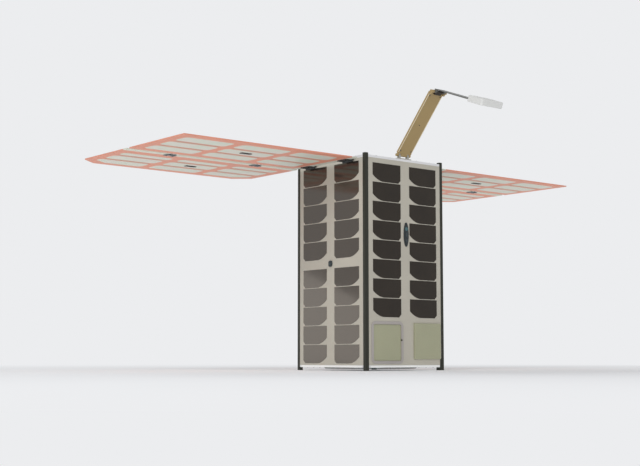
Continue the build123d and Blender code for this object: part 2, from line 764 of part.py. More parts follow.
# Blade antenna: a tapered blade with a round eye, and a thin rod from its end
antenna_x = -(half - antenna_side_inset)
antenna_y = half + antenna_axis_gap
turn = Pos(antenna_x, antenna_y, antenna_z) * Rot(0, 0, antenna_angle)
blade_outline = make_face(Polyline(
    (0, -blade_width / 2),
    (blade_length, -blade_end_width / 2),
    (blade_length, blade_end_width / 2),
    (0, blade_width / 2),
    close=True,
))
blade = Pos(0, 0, -blade_thickness / 2) * extrude(blade_outline, blade_thickness)
blade += bar("Z", 0, 0, 0, blade_width / 2, blade_thickness)
blade -= bar("Z", 0, 0, 0, antenna_pin_radius + hinge_pin_gap, cut_through * blade_thickness)
save("antenna_blade", [turn * blade])
tip_rod = bar("X", blade_length + tip_rod_length / 2, 0, 0, tip_rod_radius, tip_rod_length)
save("antenna_tip", [turn * tip_rod])

# The antenna's forked bracket on the rear face, with the pin between its two arms
fork_half = blade_thickness / 2 + seat_gap
bracket_x = (antenna_x - antenna_bracket_width / 2, antenna_x + antenna_bracket_width / 2)
bracket_z = (antenna_z - fork_half - antenna_bracket_wall, antenna_z + fork_half + antenna_bracket_wall)
bracket = block(bracket_x, (face_plane, antenna_y + antenna_bracket_end), bracket_z)
bracket -= block(bracket_x, (face_plane + antenna_bracket_wall, antenna_y + 2 * antenna_bracket_end),
                 (antenna_z - fork_half, antenna_z + fork_half))
bracket += bar("Z", antenna_x, antenna_y, antenna_z, antenna_pin_radius, 2 * fork_half)
save("antenna_bracket", [bracket])
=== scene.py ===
import json
import math

import bmesh
import bpy
from mathutils import Matrix, Quaternion, Vector


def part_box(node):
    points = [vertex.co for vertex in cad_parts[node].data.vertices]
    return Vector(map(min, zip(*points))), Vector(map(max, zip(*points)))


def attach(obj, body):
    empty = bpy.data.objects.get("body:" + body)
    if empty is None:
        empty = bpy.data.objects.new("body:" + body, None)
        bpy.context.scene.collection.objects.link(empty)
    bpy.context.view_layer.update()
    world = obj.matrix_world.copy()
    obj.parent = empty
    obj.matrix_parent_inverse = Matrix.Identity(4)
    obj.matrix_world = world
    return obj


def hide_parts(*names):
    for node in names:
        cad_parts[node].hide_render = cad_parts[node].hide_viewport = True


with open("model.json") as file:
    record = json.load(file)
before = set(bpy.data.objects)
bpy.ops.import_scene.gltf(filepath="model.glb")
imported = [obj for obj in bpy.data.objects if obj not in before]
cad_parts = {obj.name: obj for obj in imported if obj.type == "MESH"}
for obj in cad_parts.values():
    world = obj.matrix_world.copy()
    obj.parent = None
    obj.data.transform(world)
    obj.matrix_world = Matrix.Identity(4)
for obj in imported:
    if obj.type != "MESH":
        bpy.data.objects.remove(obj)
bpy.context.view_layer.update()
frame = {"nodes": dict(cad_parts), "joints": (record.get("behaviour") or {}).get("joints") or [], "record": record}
NODES = frame["nodes"]
RECORD = frame["record"]
JOINTS = {joint["name"]: joint for joint in frame["joints"]}
BODY_OF = {node: body for body, nodes in RECORD["behaviour"]["bodies"].items() for node in nodes}
SLOT_OF = {part["node"]: part["material_slot"] for part in RECORD["subparts"]}
MM = 0.001
SIDES = {"left": -1, "right": 1}


# Materials

def srgb(red, green, blue):
    """A colour written as it shows on a screen, from 0 to 255, turned into linear light."""
    def linear(value):
        value /= 255
        return value / 12.92 if value <= 0.04045 else ((value + 0.055) / 1.055) ** 2.4
    return (linear(red), linear(green), linear(blue), 1.0)


WHITE = (1.0, 1.0, 1.0, 1.0)
NOISE_MIDDLE = (0.3, 0.7)           # the range in which most of a noise's values lie
NOISE_ROUGHNESS = 0.55
MIX_FACTOR, MIX_A, MIX_B, MIX_RESULT = 0, 6, 7, 2   # the colour sockets of Blender's Mix node
BLOTCH_SCALE = 16.0                 # slow and fine variation of a finish, in turns per metre
GRAIN_SCALE = 1100.0
BLOTCH_GLOSS = (-0.05, 0.06)        # how far each changes the roughness
GRAIN_GLOSS = (-0.03, 0.03)
GRAIN_RELIEF = 0.6
SPOT_SCALE = 46.0                   # spots of a second tint
SPOT_EDGE = (0.36, 0.64)
WEAR_RADIUS = 0.5 * MM
WEAR_SCALE = 160.0
WEAR_TURN = (0.995, 0.90)           # how far the normal turns at an unworn and at a worn edge
WEAR_BREAK = (0.35, 0.62)
WEAR_POLISH = 0.12
COAT_ROUGHNESS = 0.08
THREAD_TINT = 0.008                 # how much a laminate's weave shows in its colour
THREAD_RELIEF = 0.5
LAMINATE_BLOTCH_SCALE = 11.0
LAMINATE_SPECK_SCALE = 1500.0
LAMINATE_GLOSS = (-0.04, 0.05)
FINGER_PITCH = 1.6 * MM             # grid fingers of a solar cell
FINGER_SHARE = 0.06
FINGER_TINT = 0.35
CELL_TINT_SCALE = 22.0
CELL_SPECK_SCALE = 1300.0
CELL_TINT = (0.88, 1.12)
CELL_SPECK = (-0.06, 0.06)
CELL_GLOSS = (0.07, 0.12)
CELL_RELIEF = 0.1
CELL_RIPPLE = 0.01 * MM


class Graph:
    """The node graph of a material or a world, built from inputs that are values or other nodes' sockets."""

    def __init__(self, owner):
        owner.use_nodes = True
        self.owner = owner
        self.tree = owner.node_tree
        self.tree.nodes.clear()

    def node(self, kind, inputs=None, **settings):
        made = self.tree.nodes.new(kind)
        for key, value in settings.items():
            setattr(made, key, value)
        for key, value in (inputs or {}).items():
            if isinstance(value, bpy.types.NodeSocket):
                self.tree.links.new(value, made.inputs[key])
            else:
                made.inputs[key].default_value = value
        return made

    def math(self, operation, *values, clamp=False):
        inputs = dict(enumerate(values))
        return self.node("ShaderNodeMath", inputs, operation=operation, use_clamp=clamp).outputs[0]

    def scale(self, colour, level):
        inputs = {0: colour, "Scale": level}
        return self.node("ShaderNodeVectorMath", inputs, operation="SCALE").outputs[0]

    def spread(self, value, low, high, to_low=0.0, to_high=1.0):
        inputs = {"Value": value, "From Min": low, "From Max": high, "To Min": to_low, "To Max": to_high}
        return self.node("ShaderNodeMapRange", inputs, clamp=True).outputs[0]

    def vary(self, noise, low, high):
        """A noise spread between two levels."""
        return self.spread(noise, *NOISE_MIDDLE, low, high)

    def mix(self, factor, first, second):
        inputs = {MIX_FACTOR: factor, MIX_A: first, MIX_B: second}
        return self.node("ShaderNodeMix", inputs, data_type="RGBA").outputs[MIX_RESULT]

    def place(self, stretch=None):
        """Object coordinates in metres, drawn out along an axis where stretch says so."""
        point = self.node("ShaderNodeTexCoord").outputs["Object"]
        if stretch:
            point = self.node("ShaderNodeMapping", {"Vector": point, "Scale": stretch}).outputs[0]
        return point

    def axes(self):
        """The three object coordinates by name."""
        return self.node("ShaderNodeSeparateXYZ", {0: self.place()}).outputs

    def noise(self, scale, detail=2.0, stretch=None):
        inputs = {"Vector": self.place(stretch), "Scale": scale, "Detail": detail,
                  "Roughness": NOISE_ROUGHNESS}
        return self.node("ShaderNodeTexNoise", inputs).outputs["Fac"]

    def edge(self, radius):
        """1 along sharp edges and 0 away from them, broken up as real wear is."""
        rounded = self.node("ShaderNodeBevel", {"Radius": radius}, samples=4).outputs[0]
        normal = self.node("ShaderNodeNewGeometry").outputs["Normal"]
        inputs = {0: rounded, 1: normal}
        turn = self.node("ShaderNodeVectorMath", inputs, operation="DOT_PRODUCT").outputs["Value"]
        sharp = self.spread(turn, *WEAR_TURN)
        return self.math("MULTIPLY", sharp, self.spread(self.noise(WEAR_SCALE), *WEAR_BREAK), clamp=True)

    def relief(self, height, strength, depth):
        """A normal with relief of the given depth."""
        inputs = {"Strength": strength, "Distance": depth, "Height": height}
        return self.node("ShaderNodeBump", inputs).outputs[0]

    def surface(self, **inputs):
        """A finished material from the inputs of the Principled shader, with underscores for spaces."""
        inputs = {key.replace("_", " "): value for key, value in inputs.items()}
        return self.output(self.node("ShaderNodeBsdfPrincipled", inputs).outputs[0])

    def output(self, shader, kind="ShaderNodeOutputMaterial"):
        self.node(kind, {"Surface": shader})
        return self.owner


def material_graph(name):
    return Graph(bpy.data.materials.new(name))


def finish(name, colour, rough, metallic=0.0, ior=1.5, blotch=0.05, grain=0.05, relief=0.012, stretch=None,
           wear=None, coat=0.0, tint=None):
    """A surface with slow and fine variation of colour and gloss, relief and, where asked, worn edges."""
    g = material_graph(name)
    slow = g.noise(BLOTCH_SCALE, 3.0)
    fine = g.noise(GRAIN_SCALE, 2.0, stretch)
    level = g.math("ADD", g.vary(slow, 1 - blotch, 1 + blotch), g.vary(fine, -grain, grain))
    base = g.mix(g.spread(g.noise(SPOT_SCALE, 1.0), *SPOT_EDGE), colour, tint) if tint else colour[:3]
    shade = g.scale(base, level)
    gloss = g.vary(slow, rough + BLOTCH_GLOSS[0], rough + BLOTCH_GLOSS[1])
    gloss = g.math("ADD", gloss, g.vary(fine, *GRAIN_GLOSS), clamp=True)
    if wear:
        worn = g.edge(WEAR_RADIUS)
        shade = g.mix(worn, shade, wear)
        gloss = g.math("SUBTRACT", gloss, g.math("MULTIPLY", worn, WEAR_POLISH), clamp=True)
    return g.surface(Base_Color=shade, Roughness=gloss, Metallic=metallic, IOR=ior, Coat_Weight=coat,
                     Coat_Roughness=COAT_ROUGHNESS, Normal=g.relief(fine, GRAIN_RELIEF, relief * MM))


def woven(name, colour, rough, pitch, depth, blotch=0.04, speck=0.05):
    """A laminate whose weave shows faintly: threads each way at the given pitch in millimetres."""
    g = material_graph(name)
    point = g.axes()
    turns = 2 * math.pi / (pitch * MM)
    x, y, z = (g.math("SINE", g.math("MULTIPLY", point[axis], turns)) for axis in "XYZ")
    weave = g.math("MULTIPLY", g.math("ADD", x, z), g.math("ADD", y, z))
    slow = g.noise(LAMINATE_BLOTCH_SCALE, 3.0)
    fine = g.noise(LAMINATE_SPECK_SCALE)
    level = g.math("ADD", g.vary(slow, 1 - blotch, 1 + blotch), g.vary(fine, -speck, speck))
    level = g.math("ADD", level, g.math("MULTIPLY", weave, THREAD_TINT))
    gloss = g.vary(slow, rough + LAMINATE_GLOSS[0], rough + LAMINATE_GLOSS[1])
    return g.surface(Base_Color=g.scale(colour[:3], level), Roughness=gloss, IOR=1.5,
                     Normal=g.relief(weave, THREAD_RELIEF, depth * MM))


def cell_glass(name, colour, line, along, ior, tint=WHITE):
    """A solar cell under cover glass: fine grid fingers along an axis and a slow change of tint."""
    g = material_graph(name)
    point = g.axes()
    across = g.math("ADD", point["X"], point["Y"]) if along == "Z" else point["X"]
    part = g.math("FRACT", g.math("DIVIDE", across, FINGER_PITCH))
    finger = g.math("LESS_THAN", part, FINGER_SHARE)
    slow = g.noise(CELL_TINT_SCALE)
    fine = g.noise(CELL_SPECK_SCALE)
    level = g.math("ADD", g.vary(slow, *CELL_TINT), g.vary(fine, *CELL_SPECK))
    shade = g.mix(g.math("MULTIPLY", finger, FINGER_TINT), g.scale(colour[:3], level), line)
    return g.surface(Base_Color=shade, Roughness=g.vary(slow, *CELL_GLOSS), IOR=ior, Specular_Tint=tint,
                     Normal=g.relief(slow, CELL_RELIEF, CELL_RIPPLE))


MATERIALS = {
    "rail": finish("rail_anodised", srgb(44, 45, 37), 0.42, ior=1.32, stretch=(1, 1, 0.06), grain=0.14,
                   wear=srgb(88, 89, 83)),
    "plate": finish("plate_alloy", srgb(219, 219, 220), 0.42, 0.20, stretch=(0.05, 1, 1), grain=0.04,
                    wear=srgb(232, 232, 230)),
    "inner_structure": finish("inner_alloy", srgb(150, 150, 152), 0.45, 0.6),
    "electronics": finish("electronics_case", srgb(92, 94, 98), 0.55, 0.4),
    "edge_band": finish("edge_band_white", srgb(238, 238, 236), 0.40, stretch=(1, 1, 0.1), grain=0.03),
    "tube": finish("tube_black", srgb(76, 76, 76), 0.50, grain=0.15, relief=0.03),
    "tube_ring": finish("ring_grey", srgb(88, 89, 88), 0.40, 0.3, stretch=(1, 1, 0.1),
                        wear=srgb(110, 110, 109)),
    "mirror": finish("mirror_coating", srgb(225, 227, 230), 0.06, 1.0, blotch=0.01, grain=0.005,
                     relief=0.0005),
    "spider": finish("spider_grey", srgb(172, 172, 172), 0.45, 0.2, wear=srgb(196, 196, 196)),
    "secondary": finish("secondary_black", srgb(26, 26, 27), 0.55, grain=0.10),
    "board": woven("board_laminate", srgb(181, 176, 163), 0.50, 0.9, 0.02),
    "body_cell": cell_glass("body_cell_glass", srgb(41, 34, 26), srgb(84, 76, 65), "Z", 1.32),
    "side_cell": cell_glass("side_cell_glass", srgb(38, 31, 26), srgb(90, 80, 70), "Z", 1.8,
                            srgb(255, 242, 226)),
    "patch": finish("patch_ceramic", srgb(160, 160, 133), 0.54, grain=0.05, blotch=0.03),
    "patch_frame": finish("patch_frame_alloy", srgb(166, 160, 156), 0.45, 0.2, wear=srgb(196, 193, 190)),
    "sensor": finish("sensor_body", srgb(30, 38, 40), 0.34, ior=1.4, wear=srgb(70, 92, 96)),
    "wing_panel": woven("wing_laminate", srgb(216, 142, 117), 0.50, 1.1, 0.03),
    "wing_cell": cell_glass("wing_cell_glass", srgb(26, 31, 56), srgb(120, 124, 138), "Y", 1.55),
    "pad": finish("pad_foil", srgb(208, 204, 193), 0.46, blotch=0.03, grain=0.03, tint=srgb(200, 207, 191)),
    "strip": finish("strip_paint", srgb(204, 204, 188), 0.42, stretch=(0.08, 1, 1),
                    wear=srgb(240, 240, 234)),
    "root_hinge": finish("root_hinge_black", srgb(36, 40, 41), 0.38, 0.3, grain=0.12,
                         wear=srgb(104, 110, 110)),
    "fold_finger": finish("fold_finger_alloy", srgb(216, 216, 210), 0.36, 0.3, wear=srgb(242, 242, 238)),
    "fold_hinge": finish("fold_hinge_blue", srgb(86, 97, 102), 0.40, 0.35, wear=srgb(150, 160, 166)),
    "boom_tan": finish("boom_tan", srgb(163, 139, 92), 0.46, 0.10, grain=0.03, blotch=0.04,
                       wear=srgb(214, 196, 160)),
    "boom_grey": finish("boom_grey", srgb(96, 96, 92), 0.46, 0.2, stretch=(1, 0.1, 0.1),
                        wear=srgb(150, 148, 140)),
    # A dark brown used only as painted shade: the elbow slot's faces and the sheet behind the elbow's gaps
    "boom_painted_shade": finish("boom_painted_shade", srgb(58, 50, 42), 0.48, 0.2, stretch=(1, 0.1, 0.1)),
    "boom_base": finish("boom_base_alloy", srgb(160, 158, 150), 0.40, 0.5, wear=srgb(206, 205, 200)),
    "tray": finish("tray_white", srgb(215, 215, 212), 0.45, grain=0.008, blotch=0.02, relief=0.002),
    "lens": finish("lens_black", srgb(18, 20, 20), 0.22, coat=0.6, grain=0.04),
    "antenna": finish("antenna_ivory", srgb(234, 226, 206), 0.45, grain=0.03, wear=srgb(244, 240, 228)),
    "antenna_bracket": finish("antenna_bracket_alloy", srgb(222, 222, 219), 0.38, 0.2,
                              wear=srgb(240, 240, 238)),
    "screw": finish("screw_steel", srgb(120, 120, 118), 0.32, 0.85, grain=0.08),
    "screw_dark": finish("screw_dark", srgb(62, 62, 60), 0.35, 0.7, grain=0.10),
    "tab": finish("tab_silver", srgb(186, 182, 170), 0.45, 0.3, stretch=(1, 1, 0.1)),
    # A pale teal for the nadir sensor's rim and rings: real metal parts whose colour is a painted glint
    "sensor_rim_glint": finish("sensor_rim_painted_glint", srgb(150, 174, 175), 0.36, 0.2, grain=0.08),
    "glass": finish("window_glass", srgb(14, 34, 38), 0.10, ior=1.6, grain=0.02, blotch=0.12, relief=0.001),
    # A paler teal glass for the nadir windows and the front sensor's upper lens: real glass whose light teal is a
    # painted glint
    "teal_glint_glass": finish("window_teal_painted_glint", srgb(62, 96, 100), 0.14, grain=0.03, blotch=0.15, relief=0.001),
    # A pale tan for strips along the lower arm's edges: painted highlight of its lit side faces
    "edge_highlight": finish("boom_edge_painted_highlight", srgb(222, 210, 182), 0.42, grain=0.04),
    "chip": finish("chip_black", srgb(10, 10, 11), 0.42, ior=1.35, grain=0.10),
    # A pale cream ring round each pad: painted highlight on the pads' edges
    "pad_rim_highlight": finish("pad_rim_painted_highlight", srgb(224, 196, 175), 0.50, grain=0.05),
    # A darker brown in the gaps between pad rows: painted shade
    "pad_gap_shade": finish("pad_gap_painted_shade", srgb(192, 143, 124), 0.54, grain=0.05),
    "solder": finish("feed_solder", srgb(70, 68, 58), 0.30, 0.6),
}


# Mesh helpers

SHARP_ANGLE = math.radians(40)
JOINED = 1e-6                       # points nearer than this are one
AXIS_JOINED = 1e-7                  # the same for the points of a turned solid on its axis
FLAT_ANGLE = math.radians(1)
ROUND_ANGLE = math.radians(32)      # edges sharper than this get a round
ROUND_SEGMENTS = 2
SLIVER = 2e-6
SCREW_SIDES = 12
SOCKET_FLAT = math.cos(math.pi / 6)


def piece(name, bm, material, body, slot=None, replaces=(), sharp=SHARP_ANGLE):
    """Turns a bmesh into a piece that rides on a body, smooth except at its sharp edges."""
    bmesh.ops.recalc_face_normals(bm, faces=bm.faces)
    mesh = bpy.data.meshes.new(name)
    bm.to_mesh(mesh)
    bm.free()
    mesh.polygons.foreach_set("use_smooth", [True] * len(mesh.polygons))
    mesh.set_sharp_from_angle(angle=sharp)
    mesh.materials.append(MATERIALS[material])
    made = bpy.data.objects.new(name, mesh)
    bpy.context.scene.collection.objects.link(made)
    weighted = made.modifiers.new("weighted", "WEIGHTED_NORMAL")
    weighted.keep_sharp = True
    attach(made, body)
    if replaces:
        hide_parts(*replaces)
    return made


def cad_mesh(node):
    """A copy of a CAD node's mesh with its split corners joined."""
    bm = bmesh.new()
    bm.from_mesh(NODES[node].data)
    bmesh.ops.remove_doubles(bm, verts=bm.verts, dist=JOINED)
    return bm


def dress(node, width):
    """A CAD node's shape with its sharp edges broken by a small round, in its place."""
    bm = cad_mesh(node)
    bmesh.ops.dissolve_limit(bm, angle_limit=FLAT_ANGLE, verts=bm.verts, edges=bm.edges)
    edges = [e for e in bm.edges if len(e.link_faces) == 2 and e.calc_face_angle() > ROUND_ANGLE]
    bmesh.ops.bevel(bm, geom=edges, offset=width * MM, offset_type="OFFSET", segments=ROUND_SEGMENTS,
                    profile=0.5, affect="EDGES", clamp_overlap=True)
    bmesh.ops.dissolve_degenerate(bm, dist=SLIVER, edges=bm.edges)
    slot = SLOT_OF[node]
    return piece(f"{node}_dressed", bm, slot, BODY_OF[node], slot, [node])


def islands(node):
    """The corner points of each solid of a CAD node."""
    bm = cad_mesh(node)
    seen, groups = set(), []
    for start in bm.verts:
        if start in seen:
            continue
        seen.add(start)
        stack, group = [start], []
        while stack:
            vert = stack.pop()
            group.append(vert.co.copy())
            for edge in vert.link_edges:
                other = edge.other_vert(vert)
                if other not in seen:
                    seen.add(other)
                    stack.append(other)
        groups.append(group)
    bm.free()
    return groups


def hull(points):
    """The convex outline of points in a plane, counter-clockwise."""
    points = sorted({(round(p[0], 7), round(p[1], 7)) for p in points})
    chains = []
    for ordered in (points, points[::-1]):
        chain = []
        for p in ordered:
            while len(chain) > 1:
                (ax, ay), (bx, by) = chain[-2], chain[-1]
                if (bx - ax) * (p[1] - ay) - (by - ay) * (p[0] - ax) > 1e-12:
                    break
                chain.pop()
            chain.append(p)
        chains += chain[:-1]
    return [Vector(p) for p in chains]


def rounded(outline, radius, steps=4):
    """A convex outline with its corners turned into curves, at most to the middle of each side."""
    result = []
    for i, corner in enumerate(outline):
        before = outline[i - 1] - corner
        after = outline[(i + 1) % len(outline)] - corner
        half_angle = before.angle(after) / 2
        reach = min(radius / math.tan(half_angle), before.length / 2, after.length / 2)
        start = corner + before.normalized() * reach
        end = corner + after.normalized() * reach
        for k in range(steps + 1):
            t = k / steps
            result.append(start * (1 - t) ** 2 + corner * 2 * t * (1 - t) + end * t ** 2)
    return result


def inset(outline, distance):
    """A convex counter-clockwise outline moved inwards, or outwards where the distance is negative."""
    result = []
    for i, corner in enumerate(outline):
        before = (corner - outline[i - 1]).normalized()
        after = (outline[(i + 1) % len(outline)] - corner).normalized()
        inward = Vector((-before.y - after.y, before.x + after.x))
        scale = 2 / max(inward.length_squared, 1e-9)
        result.append(corner + inward * scale * distance)
    return result


def stack_rings(bm, rings, place):
    """Joins rings of points, each an outline with its height, into one closed solid."""
    loops = []
    for outline, height in rings:
        loops.append([bm.verts.new(place @ Vector((p.x, p.y, height))) for p in outline])
    bm.faces.new(loops[0][::-1])
    for low, high in zip(loops, loops[1:]):
        for i in range(len(low)):
            j = (i + 1) % len(low)
            bm.faces.new((low[i], low[j], high[j], high[i]))
    bm.faces.new(loops[-1])


def slab(bm, outline, low, high, round_over, place, steps=2):
    """A flat solid with a rounded upper edge."""
    rings = [(outline, low), (outline, high - round_over)]
    for k in range(1, steps + 1):
        angle = math.pi / 2 * k / steps
        shrunk = inset(outline, round_over * (1 - math.cos(angle)))
        rings.append((shrunk, high - round_over * (1 - math.sin(angle))))
    stack_rings(bm, rings, place)


def rectangle(x, y, width, height):
    w, h = width / 2, height / 2
    return [Vector(p) for p in ((x - w, y - h), (x + w, y - h), (x + w, y + h), (x - w, y + h))]


def turned(k, steps):
    """The cosine and sine of step k of a full turn."""
    angle = 2 * math.pi * k / steps
    return math.cos(angle), math.sin(angle)


def circle(x, y, radius, steps=24):
    points = [turned(k, steps) for k in range(steps)]
    return [Vector((x + radius * c, y + radius * s)) for c, s in points]


def stadium(x, y, length, width, steps=12):
    """A long outline with round ends."""
    reach = (length - width) / 2
    points = []
    for side in (1, -1):
        for k in range(steps + 1):
            angle = math.pi * (k / steps - 0.5) + (0 if side > 0 else math.pi)
            end_x = x + side * reach + width / 2 * math.cos(angle)
            points.append(Vector((end_x, y + width / 2 * math.sin(angle))))
    return points


def profile(level, *pairs):
    """Pairs of radius and height in millimetres, with the heights counted from a level."""
    return [(radius * MM, level + height * MM) for radius, height in pairs]


def lathe(bm, outline, steps, place):
    """Turns a closed outline of radius and height about the local Z axis."""
    rings = []
    for c, s in (turned(k, steps) for k in range(steps)):
        rings.append([bm.verts.new(place @ Vector((r * c, r * s, z))) for r, z in outline])
    count = len(outline)
    for k in range(steps):
        first, second = rings[k], rings[(k + 1) % steps]
        for i in range(count):
            j = (i + 1) % count
            bm.faces.new((first[i], second[i], second[j], first[j]))
    bmesh.ops.remove_doubles(bm, verts=bm.verts, dist=AXIS_JOINED)


def lathed(name, outline, steps, place, *labels, sharp=SHARP_ANGLE):
    """A lathed solid as a piece of its own; the labels are what piece() takes after its mesh."""
    bm = bmesh.new()
    lathe(bm, outline, steps, place)
    return piece(name, bm, *labels, sharp=sharp)


def screw(bm, place, radius, height):
    """A round head with a broken edge and a six-sided socket."""
    def ring(size, socket=False):
        points = []
        for k in range(SCREW_SIDES):
            r = size * (SOCKET_FLAT if socket and k % 2 else 1.0)
            c, s = turned(k, SCREW_SIDES)
            points.append(Vector((r * c, r * s)))
        return points
    rings = [(ring(radius), 0.0), (ring(radius), height * 0.7), (ring(radius * 0.86), height),
             (ring(radius * 0.55, True), height), (ring(radius * 0.52, True), height * 0.35)]
    stack_rings(bm, rings, place)


def facing(origin, normal, up=(0, 0, 1)):
    """A placing whose local Z is the normal and whose local Y leans to the given way up."""
    z = Vector(normal).normalized()
    x = Vector(up).cross(z)
    x = x.normalized() if x.length > JOINED else Vector((1, 0, 0))
    y = z.cross(x)
    return Matrix.Translation(Vector(origin)) @ Matrix((x, y, z)).transposed().to_4x4()


def screws(name, places, normal, size, body, slot, material="screw"):
    """A set of like screws as one piece; the size is the head's radius and height."""
    bm = bmesh.new()
    for place in places:
        screw(bm, facing(place, normal), *size)
    return piece(name, bm, material, body, slot)


def spaced(low, high, count):
    """Evenly spaced values from low to high."""
    return [low + (high - low) * k / (count - 1) for k in range(count)]


def flat_solids(node, place):
    """Each solid of a node as an outline in a plane with its low and high level along the plane's normal."""
    inverse = place.inverted()
    result = []
    for points in islands(node):
        local = [inverse @ p for p in points]
        levels = [p.z for p in local]
        result.append((hull([(p.x, p.y) for p in local]), min(levels), max(levels)))
    return result


def middle(outline):
    """The middle of an outline's box."""
    xs = [p.x for p in outline]
    ys = [p.y for p in outline]
    return (min(xs) + max(xs)) / 2, (min(ys) + max(ys)) / 2


# Carried-over nodes first get their finish; those with small edges are dressed
for node, carrier in NODES.items():
    carrier.data.materials.clear()
    carrier.data.materials.append(MATERIALS[SLOT_OF[node]])

ROUNDS = {                          # the width of the round on each node's edges, in millimetres
    "bottom_plate": 0.5, "top_plate": 0.5, "mirror_spider": 0.4, "patch_frame": 0.25, "boom_base": 0.3,
    "boom_lower_arm": 0.3, "boom_upper_arm": 0.4, "camera_tray": 0.9, "camera_plate": 0.5,
    "antenna_blade": 0.4, "antenna_tip": 0.5, "antenna_bracket": 0.4,
    "rail_front_left": 0.4, "rail_front_right": 0.4, "rail_rear_left": 0.4, "rail_rear_right": 0.4,
}
SIDE_ROUNDS = {                     # the same for the nodes of each wing
    "inner_panel": 0.4, "inner_root_strip": 0.4, "outer_panel": 0.4, "outer_strip": 0.4, "root_leaves": 0.25,
    "root_brackets": 0.25, "fold_leaves": 0.2, "outer_leaves": 0.2,
}
for side in SIDES:
    ROUNDS |= {f"{side}_{name}": width for name, width in SIDE_ROUNDS.items()}
for node, width in ROUNDS.items():
    dress(node, width)

# The four upright faces as placings with local X to the right, Y up and Z outwards
FACE_NORMALS = {"front": (0, -1, 0), "left": (-1, 0, 0), "right": (1, 0, 0), "rear": (0, 1, 0)}
FACES = {name: facing((0, 0, 0), normal) for name, normal in FACE_NORMALS.items()}
FRONT = FACES["front"]

# Body cells with silver tabs between the rows; the cover glass on the two sides is glossier
CELL_TRIM = 0.2 * MM
CELL_ROUND = 0.12 * MM
CELL_THICKEST = 1 * MM              # thicker solids of the node aren't cells
CELL_SEAT = 0.1 * MM                # a cell starts within this of its own face
TAB_SHIFTS = (-18 * MM, 8 * MM, 26 * MM)
TAB_WIDTH = 3 * MM
TAB_LENGTH = 1.4 * MM
TAB_PROUD = 0.06 * MM
TAB_ROUND = 0.05 * MM
TAB_DROP = 0.5 * MM
matt_cells = bmesh.new()
glossy_cells = bmesh.new()
tabs = bmesh.new()
for name, place in FACES.items():
    cells = matt_cells if name in ("front", "rear") else glossy_cells
    low_edge, high_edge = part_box(f"{name}_face")
    outside = low_edge if name in ("front", "left") else high_edge
    face_level = abs((place.inverted() @ outside).z)
    for outline, low, high in flat_solids("body_cells", place):
        if high - low > CELL_THICKEST or abs(low - face_level) > CELL_SEAT:
            continue
        slab(cells, inset(outline, CELL_TRIM), low, high, CELL_ROUND, place)
        x, y = middle(outline)
        tab_y = min(p.y for p in outline) - TAB_DROP
        for shift in TAB_SHIFTS:
            tab = rectangle(x + shift, tab_y, TAB_WIDTH, TAB_LENGTH)
            slab(tabs, tab, low, high + TAB_PROUD, TAB_ROUND, place)
piece("front_rear_cells_glass", matt_cells, "body_cell", "bus", "body_cell", ["body_cells"])
piece("side_cells_glass", glossy_cells, "side_cell", "bus", "body_cell", ["body_cells"])
piece("body_cell_tabs", tabs, "tab", "bus", "body_cell")

# Wing cells above and pads below each panel
UP = facing((0, 0, 0), (0, 0, 1), (0, 1, 0))
DOWN = facing((0, 0, 0), (0, 0, -1), (0, 1, 0))
WING_TAB_SHIFTS = (-10 * MM, 10 * MM)
PAD_THICKEST = 0.6 * MM             # thicker solids of the node are chips
PAD_CORNER = 8 * MM
PAD_ROUND = 0.1 * MM
RIM_REACH = 1.2 * MM
RIM_HEIGHT = 0.12 * MM
RIM_ROUND = 0.05 * MM
SHADE_WIDEST_GAP = 20 * MM
SHADE_LEAST_SHARED = 30 * MM
SHADE_END = 11 * MM                  # how much shorter a strip of painted shade is than the gap it lies in
SHADE_EDGE = 7.2 * MM                # and how much narrower
CHIP_CORNER = 0.8 * MM
CHIP_ROUND = 0.25 * MM
LEGS = 9
LEG_PITCH = 2.6 * MM
LEG_OUT = 5.0 * MM
LEG_WIDTH = 1.1 * MM
LEG_LENGTH = 1.6 * MM
LEG_HEIGHT = 0.4 * MM
LEG_ROUND = 0.1 * MM


def wing_cells(side, wing, body):
    """The glass of a panel's cells, with tabs that join each cell to the next one outwards."""
    cells = bmesh.new()
    tabs = bmesh.new()
    solids = flat_solids(f"{side}_{wing}_cells", UP)
    starts = sorted({round(min(p.x for p in outline), 5) for outline, low, high in solids})
    for outline, low, high in solids:
        slab(cells, outline, low, high, CELL_ROUND, UP)
        x, y = middle(outline)
        edge = max(p.x for p in outline)
        beyond = [start for start in starts if start > edge]
        for shift in WING_TAB_SHIFTS if beyond else ():
            gap = beyond[0] - edge
            tab = rectangle(edge + gap / 2, y + shift, gap + TAB_LENGTH, TAB_WIDTH)
            slab(tabs, tab, low, high + TAB_PROUD, TAB_ROUND, UP)
    piece(f"{side}_{wing}_cells_glass", cells, "wing_cell", body, "wing_cell", [f"{side}_{wing}_cells"])
    piece(f"{side}_{wing}_cell_tabs", tabs, "tab", body, "wing_cell")


